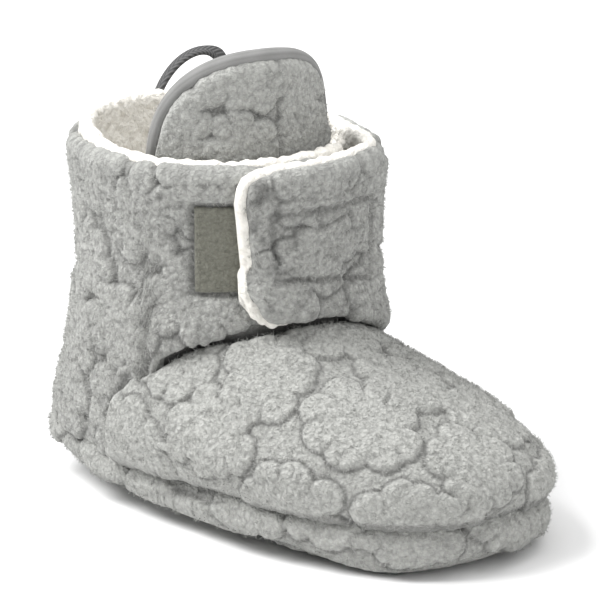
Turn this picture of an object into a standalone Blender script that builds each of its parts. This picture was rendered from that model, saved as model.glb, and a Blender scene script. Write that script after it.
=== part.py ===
"""Baby slipper: a soft ankle bootie of pile cloth, closed by a wrap cuff whose tab laps over the front.

Metres, +Z up, +X to the toe, +Y to the wearer's left. The slipper stands on the grips under its sole.
Turns are degrees round the ankle from the toe's side, positive on the wearer's left. The soft ankle is
twisted on the foot, so that the wrap's front looks a little to the wearer's right.
"""

import math

import bmesh
import bpy
from mathutils import Vector

# Foot plan and sole
SOLE_LENGTH = 0.1255
BALL_WIDTH = 0.067
HEEL_WIDTH = 0.060
TOE_POWER = 2.8
HEEL_POWER = 3.0
TOE_SWING = 0.0015
TOE_SPRING = 0.0040
SPRING_START = 0.0480
SOLE_BOTTOM = 0.0011
SOLE_THICKNESS = 0.0080
RING_POINTS = 56

# Each row is one ring of the sole's padded edge: a share of its thickness, and how far the ring lies in.
SOLE_EDGE = (
    {"height": 0.00, "inset": 0.0056},
    {"height": 0.12, "inset": 0.0028},
    {"height": 0.34, "inset": 0.0008},
    {"height": 0.60, "inset": 0.0000},
    {"height": 0.86, "inset": 0.0010},
    {"height": 1.00, "inset": 0.0034},
)

# Grips printed under the sole
GRIP_COLUMNS = 5
GRIP_ROWS = 3
GRIP_PITCH = 0.0170
GRIP_RADIUS = 0.0058
GRIP_HEIGHT = 0.0008
GRIP_MIDDLE_X = 0.0100

# Ankle, collar and quarter
GAP = 0.0003
WALL = 0.0040
SEAM_HEIGHT = SOLE_BOTTOM + SOLE_THICKNESS + GAP
ANKLE_X = -0.0262
ANKLE_HALF_LENGTH = 0.0330
ANKLE_HALF_WIDTH = 0.0308
ANKLE_POWER = 2.15
COLLAR_HEIGHT = 0.0800
RIM_FLARE = 0.0012
RIM_REACH = 0.0140
HEEL_REACH = 0.0320
HEEL_START = 78.0
HEEL_FULL = 118.0
HEEL_PLAN_TURN = 106.0
SHELL_EDGE = 0.0011
EDGE_ANGLE = 60.0

# Wrap cuff
INNER_WING_END = 17.0
TAB_END = -35.0
LAP_START = 62.0
LAP_FULL = 20.0
LAP_CLEARANCE = 0.0018
TAB_CORNER = 0.0100
TAB_LIFT = 0.0060
TAB_LIFT_START = 21.0
CUFF_FRONT_LOW = 0.0420
CUFF_RIGHT_LOW = 0.0290
CUFF_RIGHT_POWER = 0.62
CUFF_LEFT_LOW = 0.0240
CUFF_LEFT_POWER = 1.3
CUFF_CROSS = 40.0
WRAP_FRONT = -15.0
QUARTER_TURN = 92.0
QUARTER_BLEND = 12.0
WRAP_COLUMNS = 76
WRAP_ROWS = 8

# Vamp
VAMP_REACH = 111.0
THROAT_TURN = 94.0
THROAT_OUT_START = 58.0
THROAT_OUT_FULL = 88.0
THROAT_TUCK = 0.0035
THROAT_SIDE_TUCK = 0.0008
THROAT_SIDE_START = 36.0
THROAT_CLEARANCE = 0.0012
CORNER_LAP = 0.0022
CORNER_SHARE = 0.72
VAMP_CORNER = 0.0050
CORNER_BULGE = 0.0012
BULGE_SPAN = 0.0220
HANDLE_SHARE = 0.42
VAMP_BULGE = 0.0036
TOE_RISE = 0.0205
SIDE_RISE = 0.0090
TOE_RUN = 0.0220
SIDE_RUN = 0.0016
TOE_FALL = 0.0160
SIDE_FALL = 0.0080
VAMP_COLUMNS = 52
VAMP_ROWS = 10

# Tongue
TONGUE_MIDDLE = -16.0
TONGUE_TURN = 61.0
TONGUE_WALL = 0.0034
TONGUE_TOP = 0.1025
TONGUE_SIDE_TOP = 0.0720
TONGUE_POWER = 2.3
TONGUE_LEAN = 0.0040
TONGUE_COLUMNS = 28
TONGUE_ROWS = 8
BINDING_RADIUS = 0.0025
BINDING_REACH = 0.995
BINDING_POINTS = 41
BINDING_CHECKS = 400

# Trim
PATCH_START = -55.0
PATCH_END = -19.0
PATCH_HEIGHT = 0.0190
PATCH_MIDDLE = 0.0630
PATCH_THICKNESS = 0.0010
PATCH_COLUMNS = 12
PATCH_ROWS = 4
BACK_TURN = 146.0
LABEL_WIDTH = 0.0250
LABEL_HEIGHT = 0.0090
LABEL_MIDDLE = 0.0660
LABEL_THICKNESS = 0.0012
LABEL_END_ROUND = 0.98
LABEL_COLUMNS = 20
LABEL_ROWS = 2
LOOP_SPAN = 0.0165
LOOP_RISE = 0.0130
LOOP_LEAN = 0.0020
LOOP_FULLNESS = 0.8
LOOP_TAPE_WIDTH = 0.0044
LOOP_TAPE_THICKNESS = 0.0011
LOOP_POINTS = 19
INSOLE_THICKNESS = 0.0030
INSOLE_INSET = 0.0062


def clear_scene():
    """Remove every object that the scene starts with."""
    for obj in list(bpy.data.objects):
        bpy.data.objects.remove(obj)


def blend(value, start, end):
    """Smooth step from 0 at start to 1 at end."""
    share = min(1.0, max(0.0, (value - start) / (end - start)))
    return share * share * (3.0 - 2.0 * share)


def squared(value, power):
    """Signed power that squares up a sine or cosine, so that a circle becomes a rounder box."""
    return math.copysign(abs(value) ** (2.0 / power), value)


def spring(x):
    """Lift of the sole towards the tip of the toe."""
    reach = SOLE_LENGTH / 2 - SPRING_START
    return TOE_SPRING * max(0.0, (x - SPRING_START) / reach) ** 2


def foot_plan(degrees, inset=0.0):
    """Plan point (x, y) of the foot, at 0 degrees on the toe and 180 on the heel, moved in by inset."""
    angle = math.radians(degrees)
    half_length = SOLE_LENGTH / 2
    power = TOE_POWER if math.cos(angle) > 0.0 else HEEL_POWER
    x = (half_length - inset) * squared(math.cos(angle), power)
    width = HEEL_WIDTH + (BALL_WIDTH - HEEL_WIDTH) * blend(x, -half_length, half_length / 2)
    y = (width / 2 - inset) * squared(math.sin(angle), power)
    return x, y + TOE_SWING * max(0.0, x / half_length) ** 2


def foot_ring(inset, height):
    """Closed ring of the foot plan at a height, following the toe spring."""
    ring = []
    for index in range(RING_POINTS):
        x, y = foot_plan(360.0 * index / RING_POINTS, inset)
        ring.append(Vector((x, y, height + spring(x))))
    return ring


def free_edge(degrees):
    """Height of the cuff's free lower edge over the vamp, highest at the wrap's own front."""
    turn = math.radians(min(90.0, max(-90.0, degrees)))
    front = max(0.0, math.cos(turn - math.radians(WRAP_FRONT) * math.cos(turn)))
    left = blend(degrees, -CUFF_CROSS, CUFF_CROSS)
    low = CUFF_RIGHT_LOW + (CUFF_LEFT_LOW - CUFF_RIGHT_LOW) * left
    power = CUFF_RIGHT_POWER + (CUFF_LEFT_POWER - CUFF_RIGHT_POWER) * left
    return low + (CUFF_FRONT_LOW - low) * front**power


def wrap_low(degrees):
    """Height of the wrap's lower edge, which behind the vamp's corners runs down to the sole."""
    down = blend(abs(degrees), QUARTER_TURN - QUARTER_BLEND, QUARTER_TURN)
    return free_edge(degrees) + (SEAM_HEIGHT - free_edge(degrees)) * down


def ankle_point(degrees, height, out=0.0):
    """Point of the ankle's form at a turn and height, moved out. The heel runs down to the sole."""
    angle = math.radians(degrees)
    turn = (degrees + 180.0) % 360.0 - 180.0
    out += RIM_FLARE * blend(height, COLLAR_HEIGHT - RIM_REACH, COLLAR_HEIGHT)
    x = ANKLE_X + (ANKLE_HALF_LENGTH + out) * squared(math.cos(angle), ANKLE_POWER)
    y = (ANKLE_HALF_WIDTH + out) * squared(math.sin(angle), ANKLE_POWER)
    low = 1.0 - blend(height, SEAM_HEIGHT, SEAM_HEIGHT + HEEL_REACH)
    low *= blend(abs(turn), HEEL_START, HEEL_FULL)
    if low > 0.0:
        past = (abs(turn) - HEEL_START) / (180.0 - HEEL_START)
        heel = foot_plan(math.copysign(HEEL_PLAN_TURN + (180.0 - HEEL_PLAN_TURN) * past, turn), -out)
        x += (heel[0] - x) * low
        y += (heel[1] - y) * low
    return Vector((x, y, height))


def corner_cut(to_end, radius):
    """What a round corner takes off an edge at a distance from its end."""
    short = max(0.0, radius - to_end)
    return radius - math.sqrt(max(0.0, radius**2 - short**2))


def wrap_point(along, up):
    """Outer face of quarter and cuff: along 0 to 1 from tab round the heel to inner wing, up 0 to 1."""
    last = TAB_END - 360.0
    travel = last + along * (INNER_WING_END - last)
    degrees = (travel + 180.0) % 360.0 - 180.0
    cut = corner_cut(math.radians(travel - last) * ANKLE_HALF_LENGTH, TAB_CORNER)
    to_tab = max(0.0, TAB_LIFT_START - 360.0 - travel) / (TAB_LIFT_START - TAB_END)
    low = wrap_low(degrees) + TAB_LIFT * to_tab + cut
    high = COLLAR_HEIGHT - cut
    lap = (WALL + LAP_CLEARANCE) * (1.0 - blend(travel + 360.0, LAP_FULL, LAP_START))
    return ankle_point(degrees, low + (high - low) * up, lap)


def throat_height(degrees):
    """Height of the vamp's throat edge, tucked up behind the cuff's free edge, less so at the sides."""
    aside = blend(abs(degrees), THROAT_SIDE_START, THROAT_OUT_START)
    cut = corner_cut(math.radians(THROAT_TURN - abs(degrees)) * ANKLE_HALF_WIDTH, VAMP_CORNER)
    return free_edge(degrees) + THROAT_TUCK + (THROAT_SIDE_TUCK - THROAT_TUCK) * aside - cut


def throat_offset(degrees):
    """Place of the throat edge: inside the cuff at the front, lapped over the quarter at the rear corners."""
    inside = -(WALL + THROAT_CLEARANCE)
    return inside + (CORNER_LAP - inside) * blend(abs(degrees), THROAT_OUT_START, THROAT_OUT_FULL)


def vamp_point(across, rise):
    """Outer face of the vamp: across 0 to 1 from corner to corner, rise 0 to 1 up to the throat."""
    share = 2.0 * across - 1.0
    side = math.radians(90.0 * share)
    front = math.cos(side)
    out = Vector((math.cos(side), math.sin(side), 0.0))
    up = Vector((0.0, 0.0, 1.0))
    corner = blend(abs(share), CORNER_SHARE, 1.0)
    x, y = foot_plan(share * VAMP_REACH, -CORNER_LAP * corner)
    foot = Vector((x, y, SEAM_HEIGHT + spring(x)))
    degrees = share * THROAT_TURN
    throat = ankle_point(degrees, throat_height(degrees), throat_offset(degrees))
    reach = HANDLE_SHARE * (throat.z - foot.z)
    fullness = min(1.0, (throat.z - foot.z) / BULGE_SPAN)
    low_handle = foot + up * min(reach, SIDE_RISE + (TOE_RISE - SIDE_RISE) * front)
    low_handle += out * (VAMP_BULGE + (CORNER_BULGE - VAMP_BULGE) * corner) * fullness
    high_handle = throat + out * (SIDE_RUN + (TOE_RUN - SIDE_RUN) * front)
    high_handle -= up * min(reach, SIDE_FALL + (TOE_FALL - SIDE_FALL) * front)
    rest = 1.0 - rise
    low_share = 3.0 * rest**2 * rise
    high_share = 3.0 * rest * rise**2
    return foot * rest**3 + low_handle * low_share + high_handle * high_share + throat * rise**3


def tongue_top(share):
    """Height of the tongue's arched top, with share -1 to 1 across it."""
    arch = (1.0 - abs(share) ** TONGUE_POWER) ** (1.0 / TONGUE_POWER)
    return TONGUE_SIDE_TOP + (TONGUE_TOP - TONGUE_SIDE_TOP) * arch


def tongue_half_width():
    """Half of the tongue's width, measured round its curve in the middle of its wall."""
    return math.radians(TONGUE_TURN) * (ANKLE_HALF_WIDTH - WALL - THROAT_CLEARANCE - TONGUE_WALL / 2)


def tongue_edge(share):
    """Height of the tongue's own edge, which lies under the round tape at every place."""
    reach = BINDING_RADIUS + GAP
    height = TONGUE_TOP
    for index in range(BINDING_CHECKS + 1):
        place = math.sin(math.pi * (index / BINDING_CHECKS - 0.5))
        aside = (place - share) * tongue_half_width()
        if abs(aside) < reach:
            height = min(height, tongue_top(place) - math.sqrt(reach**2 - aside**2))
    return height


def tongue_point(share, height, depth=0.0):
    """Point of the tongue's outer face at a share -1 to 1 across it and a height, or deeper in its wall."""
    degrees = TONGUE_MIDDLE + share * TONGUE_TURN
    level = min(height, COLLAR_HEIGHT - RIM_REACH)
    point = ankle_point(degrees, level, -(WALL + THROAT_CLEARANCE) - depth)
    lean = TONGUE_LEAN * blend(height, CUFF_FRONT_LOW, TONGUE_TOP)
    return Vector((point.x - lean, point.y, height))


def tongue_sheet_point(across, up):
    """Outer face of the tongue from the vamp's throat up to its binding."""
    share = (2.0 * across - 1.0) * (1.0 - (BINDING_RADIUS + GAP) / tongue_half_width())
    low = throat_height(TONGUE_MIDDLE + share * TONGUE_TURN) + GAP
    return tongue_point(share, low + (tongue_edge(share) - low) * up)


def material(name, colour, roughness):
    """Principled material with a plain colour."""
    made = bpy.data.materials.new(name)
    made.use_nodes = True
    shader = made.node_tree.nodes["Principled BSDF"]
    shader.inputs["Base Color"].default_value = (*colour, 1.0)
    shader.inputs["Roughness"].default_value = roughness
    shader.inputs["Metallic"].default_value = 0.0
    return made


def mesh_from(bm, name):
    """Turn a bmesh into a mesh with its faces pointing out."""
    bmesh.ops.recalc_face_normals(bm, faces=bm.faces)
    mesh = bpy.data.meshes.new(name)
    bm.to_mesh(mesh)
    bm.free()
    return mesh


def ring_loft(name, rings):
    """Closed solid through rings of equal count, with its two ends laddered straight across."""
    bm = bmesh.new()
    rows = [[bm.verts.new(point) for point in ring] for ring in rings]
    count = len(rings[0])
    for low, high in zip(rows, rows[1:]):
        for index in range(count):
            after = (index + 1) % count
            bm.faces.new((low[index], low[after], high[after], high[index]))
    for row in (rows[0], rows[-1]):
        for index in range(count // 2):
            corners = (row[index], row[index + 1], row[count - index - 1], row[-index])
            bm.faces.new(list(dict.fromkeys(corners)))
    return mesh_from(bm, name)


def sheet(name, columns, rows, place):
    """Open sheet of columns by rows faces, each corner set by place(across, up) with both 0 to 1."""
    bm = bmesh.new()
    bmesh.ops.create_grid(bm, x_segments=columns, y_segments=rows, size=0.5)
    for vert in bm.verts:
        vert.co = place(vert.co.x + 0.5, vert.co.y + 0.5)
    mesh = bpy.data.meshes.new(name)
    bm.to_mesh(mesh)
    bm.free()
    return mesh


def tape(name, path, width_ways, thickness_ways):
    """Closed solid of a flat tape along path, its section set at each point by two half-size vectors."""
    bm = bmesh.new()
    rows = []
    for point, wide, thick in zip(path, width_ways, thickness_ways):
        corners = (wide + thick, thick - wide, -wide - thick, wide - thick)
        rows.append([bm.verts.new(point + corner) for corner in corners])
    for low, high in zip(rows, rows[1:]):
        for index in range(4):
            after = (index + 1) % 4
            bm.faces.new((low[index], low[after], high[after], high[index]))
    bm.faces.new(rows[0])
    bm.faces.new(rows[-1])
    return mesh_from(bm, name)


def thicken(obj, thickness, offset):
    """Give an open sheet its wall, behind its face with an offset of -1 and before it with 1."""
    wall = obj.modifiers.new("wall", "SOLIDIFY")
    wall.thickness = thickness
    wall.offset = offset
    wall.use_even_offset = True


def soften(obj, width, segments):
    """Round the edges of a piece."""
    edge = obj.modifiers.new("edge", "BEVEL")
    edge.width = width
    edge.segments = segments
    edge.limit_method = "ANGLE"
    edge.angle_limit = math.radians(EDGE_ANGLE)


class Slipper:
    """The slipper's pieces, which all hang on one empty."""

    def __init__(self):
        self.pieces = bpy.data.collections.new("baby_slipper")
        self.tools = bpy.data.collections.new("cutters")
        for collection in (self.pieces, self.tools):
            bpy.context.scene.collection.children.link(collection)
        self.root = bpy.data.objects.new("slipper_root", None)
        self.pieces.objects.link(self.root)

    def add(self, name, mesh, finish):
        """Link a mesh as a named piece with its finish."""
        obj = bpy.data.objects.new(name, mesh)
        obj.data.materials.append(finish)
        self.pieces.objects.link(obj)
        obj.parent = self.root
        return obj

    def add_tool(self, name, mesh):
        """Link a mesh that only shapes another piece."""
        obj = bpy.data.objects.new(name, mesh)
        self.tools.objects.link(obj)
        obj.parent = self.root
        obj.hide_render = True
        obj.display_type = "WIRE"
        return obj

    def add_sole(self, fleece):
        """Padded sole with a round edge and a little toe spring."""
        rings = []
        for row in SOLE_EDGE:
            rings.append(foot_ring(row["inset"], SOLE_BOTTOM + row["height"] * SOLE_THICKNESS))
        self.add("sole", ring_loft("sole", rings), fleece)

    def add_insole(self, lining):
        """Footbed of white pile that lies on the sole inside the upper."""
        bottom = SEAM_HEIGHT
        rings = [foot_ring(INSOLE_INSET, bottom), foot_ring(INSOLE_INSET, bottom + INSOLE_THICKNESS)]
        self.add("insole", ring_loft("insole", rings), lining)

    def add_grips(self, rubber):
        """Hexagonal grips in rows under the sole, with a corner of each to either side."""
        for row in range(GRIP_ROWS):
            for column in range(GRIP_COLUMNS):
                bm = bmesh.new()
                bmesh.ops.create_cone(
                    bm,
                    cap_ends=True,
                    segments=6,
                    radius1=GRIP_RADIUS - GRIP_HEIGHT / 3,
                    radius2=GRIP_RADIUS,
                    depth=GRIP_HEIGHT,
                )
                name = f"grip_{row + 1}{column + 1}"
                grip = self.add(name, mesh_from(bm, name), rubber)
                x = GRIP_MIDDLE_X + (column - (GRIP_COLUMNS - 1) / 2) * GRIP_PITCH
                y = (row - (GRIP_ROWS - 1) / 2) * GRIP_PITCH
                grip.location = (x, y, GRIP_HEIGHT / 2)

    def add_upper(self, fleece):
        """One hollow shell: the wrap round heel and ankle, joined to the vamp at the vamp's corners."""
        upper = self.add("upper", sheet("upper", WRAP_COLUMNS, WRAP_ROWS, wrap_point), fleece)
        thicken(upper, WALL, -1.0)
        soften(upper, SHELL_EDGE, 1)
        vamp = self.add_tool("vamp_form", sheet("vamp_form", VAMP_COLUMNS, VAMP_ROWS, vamp_point))
        thicken(vamp, WALL, -1.0)
        soften(vamp, SHELL_EDGE, 1)
        join = upper.modifiers.new("vamp", "BOOLEAN")
        join.operation = "UNION"
        join.object = vamp

    def add_tongue(self, fleece, tape_cloth):
        """Curved tongue that stands up from the vamp's throat, and the tape bound over its top edge."""
        face = sheet("tongue", TONGUE_COLUMNS, TONGUE_ROWS, tongue_sheet_point)
        tongue = self.add("tongue", face, fleece)
        thicken(tongue, TONGUE_WALL, -1.0)
        curve = bpy.data.curves.new("binding_line", "CURVE")
        curve.dimensions = "3D"
        curve.bevel_depth = BINDING_RADIUS
        curve.bevel_resolution = 2
        curve.use_fill_caps = True
        line = curve.splines.new("POLY")
        line.points.add(BINDING_POINTS - 1)
        for index, point in enumerate(line.points):
            share = BINDING_REACH * math.sin(math.pi * (index / (BINDING_POINTS - 1) - 0.5))
            middle = tongue_point(share, tongue_top(share), TONGUE_WALL / 2)
            point.co = (*middle, 1.0)
        curve.materials.append(tape_cloth)
        binding = bpy.data.objects.new("tongue_binding", curve)
        self.pieces.objects.link(binding)
        binding.parent = self.root

    def add_hook_patch(self, hooks):
        """Hook fastener on the inner wing, the part past the tab's end in sight."""

        def place(across, up):
            degrees = PATCH_START + (PATCH_END - PATCH_START) * across
            return ankle_point(degrees, PATCH_MIDDLE + PATCH_HEIGHT * (up - 0.5), GAP)

        patch = self.add("hook_patch", sheet("hook_patch", PATCH_COLUMNS, PATCH_ROWS, place), hooks)
        thicken(patch, PATCH_THICKNESS, 1.0)

    def add_heel_label(self, cloth):
        """Bare pill-shaped patch on the back of the quarter."""
        turn = math.degrees(LABEL_WIDTH / 2 / ANKLE_HALF_WIDTH)
        straight = 1.0 - LABEL_HEIGHT / LABEL_WIDTH

        def place(across, up):
            share = 2.0 * across - 1.0
            past = max(0.0, abs(share) - straight) / (1.0 - straight)
            half = LABEL_HEIGHT / 2 * math.sqrt(max(0.0, 1.0 - (LABEL_END_ROUND * past) ** 2))
            return ankle_point(BACK_TURN + share * turn, LABEL_MIDDLE + half * (2.0 * up - 1.0), GAP)

        label = self.add("heel_label", sheet("heel_label", LABEL_COLUMNS, LABEL_ROWS, place), cloth)
        thicken(label, LABEL_THICKNESS, 1.0)

    def add_pull_loop(self, webbing):
        """Loop of woven tape that stands on the collar's back rim."""
        angle = math.radians(BACK_TURN)
        outward = Vector((math.cos(angle), math.sin(angle), 0.0))
        along = Vector((-outward.y, outward.x, 0.0))
        up = Vector((0.0, 0.0, 1.0))
        foot = ankle_point(BACK_TURN, COLLAR_HEIGHT + GAP, -WALL / 2)
        path = []
        wide = []
        thick = []
        for index in range(LOOP_POINTS):
            sweep = math.pi * index / (LOOP_POINTS - 1)
            rise = LOOP_RISE * math.sin(sweep) ** LOOP_FULLNESS
            side = -LOOP_SPAN / 2 * math.cos(sweep)
            normal = (along * (-math.cos(sweep)) + up * math.sin(sweep)).normalized()
            path.append(foot + along * side + up * rise + outward * (LOOP_LEAN * rise / LOOP_RISE))
            wide.append(outward * (LOOP_TAPE_WIDTH / 2))
            thick.append(normal * (LOOP_TAPE_THICKNESS / 2))
        self.add("pull_loop", tape("pull_loop", path, wide, thick), webbing)

    def settle(self):
        """Move the slipper so that its box stands with the middle of its bottom at the origin."""
        bpy.context.view_layer.update()
        graph = bpy.context.evaluated_depsgraph_get()
        corners = []
        for obj in self.pieces.objects:
            if obj.type != "EMPTY":
                shown = obj.evaluated_get(graph)
                corners.extend(obj.matrix_world @ vert.co for vert in shown.to_mesh().vertices)
                shown.to_mesh_clear()
        for axis in (0, 1):
            values = [corner[axis] for corner in corners]
            self.root.location[axis] = -(min(values) + max(values)) / 2


def main():
    """Build the slipper."""
    clear_scene()
    fleece = material("grey_fleece", (0.52, 0.52, 0.50), 0.95)
    lining = material("white_pile", (0.86, 0.85, 0.82), 0.95)
    tape_cloth = material("binding_tape", (0.42, 0.42, 0.41), 0.75)
    hooks = material("hook_cloth", (0.16, 0.16, 0.135), 0.80)
    webbing = material("dark_webbing", (0.09, 0.09, 0.09), 0.80)
    label_cloth = material("label_cloth", (0.54, 0.54, 0.47), 0.70)
    rubber = material("grip_rubber", (0.20, 0.21, 0.20), 0.55)
    slipper = Slipper()
    slipper.add_sole(fleece)
    slipper.add_insole(lining)
    slipper.add_upper(fleece)
    slipper.add_tongue(fleece, tape_cloth)
    slipper.add_hook_patch(hooks)
    slipper.add_heel_label(label_cloth)
    slipper.add_pull_loop(webbing)
    slipper.add_grips(rubber)
    slipper.settle()


main()
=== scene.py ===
"""Looks of the baby slipper: fleece skins, pile lining, tapes, patch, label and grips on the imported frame.

Metres, +Z up, +X to the toe, +Y to the wearer's left. Turns are degrees round the ankle from the toe's side,
positive on the wearer's left. Cloth faces are functions of two shares, across and up, both 0 to 1.
"""

from __future__ import annotations

import logging
import math
from dataclasses import dataclass, field
from enum import Enum
from typing import Any, Callable, Optional, Sequence, Union

import bpy
import numpy as np
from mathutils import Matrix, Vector

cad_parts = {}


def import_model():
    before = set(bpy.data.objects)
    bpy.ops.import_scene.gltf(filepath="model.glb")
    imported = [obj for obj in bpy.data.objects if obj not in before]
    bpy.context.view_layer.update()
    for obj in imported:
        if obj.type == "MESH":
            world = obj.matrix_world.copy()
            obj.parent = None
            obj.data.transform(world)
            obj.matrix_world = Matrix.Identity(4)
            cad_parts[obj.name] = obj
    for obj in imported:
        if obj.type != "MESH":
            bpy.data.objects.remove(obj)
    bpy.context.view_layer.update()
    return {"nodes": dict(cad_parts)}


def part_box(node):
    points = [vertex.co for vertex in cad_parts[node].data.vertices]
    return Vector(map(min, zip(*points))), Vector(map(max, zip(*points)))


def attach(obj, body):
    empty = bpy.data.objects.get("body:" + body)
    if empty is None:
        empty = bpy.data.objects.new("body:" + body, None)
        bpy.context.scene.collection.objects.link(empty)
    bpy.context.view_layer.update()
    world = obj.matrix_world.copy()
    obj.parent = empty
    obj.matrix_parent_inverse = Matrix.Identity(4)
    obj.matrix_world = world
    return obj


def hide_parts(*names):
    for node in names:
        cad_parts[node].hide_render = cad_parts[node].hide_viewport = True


LOG = logging.getLogger("baby_slipper")
ROOT_BODY = "root"
# Point attribute of painted light: low where painted shade or shadow falls in grooves, creases, slits and
# gaps, 1 on lit tops.
PAINTED_LIGHT = "relief"
MERGE_DISTANCE = 0.00002
SLOPE_STEP = 0.0015

Array = np.ndarray
Face = Callable[[Array, Array], Array]
Colour = tuple[float, float, float]
Line = tuple[tuple[float, float], ...]
Number = Union[float, Array]
HeightAndLight = tuple[Array, Array]

UPWARD = np.array((0.0, 0.0, 1.0))
SLANT = np.array((0.31, 0.17, 0.93))
HASH_KEYS = [np.uint64(key) for key in (0x9E3779B97F4A7C15, 0xC2B2AE3D27D4EB4F, 0x165667B19E3779F9)]
HASH_MIX = np.uint64(0xD6E8FEB86659FD93)


class Slot(Enum):
    """Names of the material slots."""

    FLEECE = "grey_fleece"
    PILE = "white_pile"
    TAPE = "binding_tape"
    HOOKS = "hook_cloth"
    WEBBING = "dark_webbing"
    LABEL = "label_cloth"
    RUBBER = "grip_rubber"


def blend(value: Array, start: float, end: float) -> Array:
    """Smooth step.

    Args:
        value: Numbers to place between start and end.
        start: Where the step is 0.
        end: Where the step is 1.

    Returns:
        Shares from 0 to 1.
    """
    share = np.clip((value - start) / (end - start), 0.0, 1.0)
    return share * share * (3.0 - 2.0 * share)


def between(first: Number, second: Number, share: Number) -> Number:
    """Value at a share of the way from a first to a second."""
    return first + (second - first) * share


def swung(turns: Array, first: Array, second: Array) -> Array:
    """Directions at turns from a first axis towards a second."""
    return np.cos(turns) * first + np.sin(turns) * second


def squared(value: Array, power: Array) -> Array:
    """Signed power that makes a circle's sine or cosine that of a rounder box."""
    return np.sign(value) * np.abs(value) ** (2.0 / power)


def corner_cut(to_end: Array, radius: float) -> Array:
    """What a round corner takes off an edge at a distance from its end."""
    short = np.maximum(0.0, radius - to_end)
    return radius - np.sqrt(np.maximum(0.0, radius**2 - short**2))


def joined(x: Array, y: Array, z: Array) -> Array:
    """Points from their three coordinates."""
    return np.stack(np.broadcast_arrays(x, y, z), axis=-1)


def unit(vectors: Array) -> Array:
    """Vectors of length 1."""
    return vectors / np.maximum(np.linalg.norm(vectors, axis=-1, keepdims=True), 1e-12)


def face_frame(face: Face, across: Array, up: Array) -> tuple[Array, Array]:
    """Outward normals and upward slopes of a cloth face.

    Args:
        face: The face's function.
        across: Shares across the face.
        up: Shares up the face.

    Returns:
        Unit normals and unit upward tangents, one for each pair of shares.
    """
    before = face(np.clip(across - SLOPE_STEP, 0.0, 1.0), up)
    after = face(np.clip(across + SLOPE_STEP, 0.0, 1.0), up)
    below = face(across, np.clip(up - SLOPE_STEP, 0.0, 1.0))
    above = face(across, np.clip(up + SLOPE_STEP, 0.0, 1.0))
    return unit(np.cross(after - before, above - below)), unit(above - below)


def nearest_square(points: Array, spots: Array) -> Array:
    """Square of the distance from each point to the nearest of some spots.

    Args:
        points: Points to measure from.
        spots: Spots to measure to.

    Returns:
        One square for each point, 1 at most.
    """
    nearest = np.full(len(points), 1.0)
    for spot in spots:
        nearest = np.minimum(nearest, np.sum((points - spot) ** 2, axis=-1))
    return nearest


def cell_sizes(grid: Array) -> Array:
    """Area round each point of a grid."""
    wide = np.linalg.norm(np.gradient(grid, axis=1), axis=-1)
    return wide * np.linalg.norm(np.gradient(grid, axis=0), axis=-1)


def run_lengths(path: Array) -> Array:
    """Length of a path up to each of its points."""
    return np.concatenate([[0.0], np.cumsum(np.linalg.norm(np.diff(path, axis=0), axis=-1))])


def narrowed(face: Face, margin: float) -> Face:
    """The same face without a margin at each end.

    Args:
        face: The outer face.
        margin: Share across that is left out at each end.

    Returns:
        The narrower face.
    """

    def middle(across: Array, up: Array) -> Array:
        """Place on the narrower face."""
        return face(margin + (1.0 - 2.0 * margin) * np.asarray(across), up)

    return middle


def sunk(face: Face, depth: float) -> Face:
    """A face that lies behind another.

    Args:
        face: The outer face.
        depth: How far behind it lies.

    Returns:
        The face behind.
    """

    def place(across: Array, up: Array) -> Array:
        """Place on the face behind."""
        return face(across, up) - face_frame(face, across, up)[0] * depth

    return place


@dataclass(frozen=True)
class FootForm:
    """Plan of the foot and height of the seam over its sole."""

    length: float = 0.1255
    ball_width: float = 0.067
    heel_width: float = 0.060
    toe_power: float = 2.5
    heel_power: float = 3.7
    toe_swing: float = 0.0015
    edge_lift: float = 0.0020
    heel_lift: float = 0.0050
    heel_start: float = 0.0200
    bottom: float = 0.0011
    thickness: float = 0.0080
    gap: float = 0.0003

    @property
    def seam(self) -> float:
        """Height of the seam between sole and upper."""
        return self.bottom + self.thickness + self.gap

    def lift(self, x: Array) -> Array:
        """How far the seam pulls the sole's edge up, most at the back of the heel."""
        heel = np.maximum(0.0, (-x - self.heel_start) / (self.length / 2 - self.heel_start))
        return self.edge_lift + self.heel_lift * heel**2

    def plan(self, degrees: Array, inset: Number = 0.0) -> tuple[Array, Array]:
        """Outline of the foot from above.

        Args:
            degrees: Turns, 0 on the toe and 180 on the heel.
            inset: How far the outline lies in.

        Returns:
            The x and y of the outline.
        """
        angle = np.radians(degrees)
        half = self.length / 2
        power = np.where(np.cos(angle) > 0.0, self.toe_power, self.heel_power)
        x = (half - inset) * squared(np.cos(angle), power)
        width = between(self.heel_width, self.ball_width, blend(x, -half, half / 2))
        y = (width / 2 - inset) * squared(np.sin(angle), power)
        return x, y + self.toe_swing * np.maximum(0.0, x / half) ** 2


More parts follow.
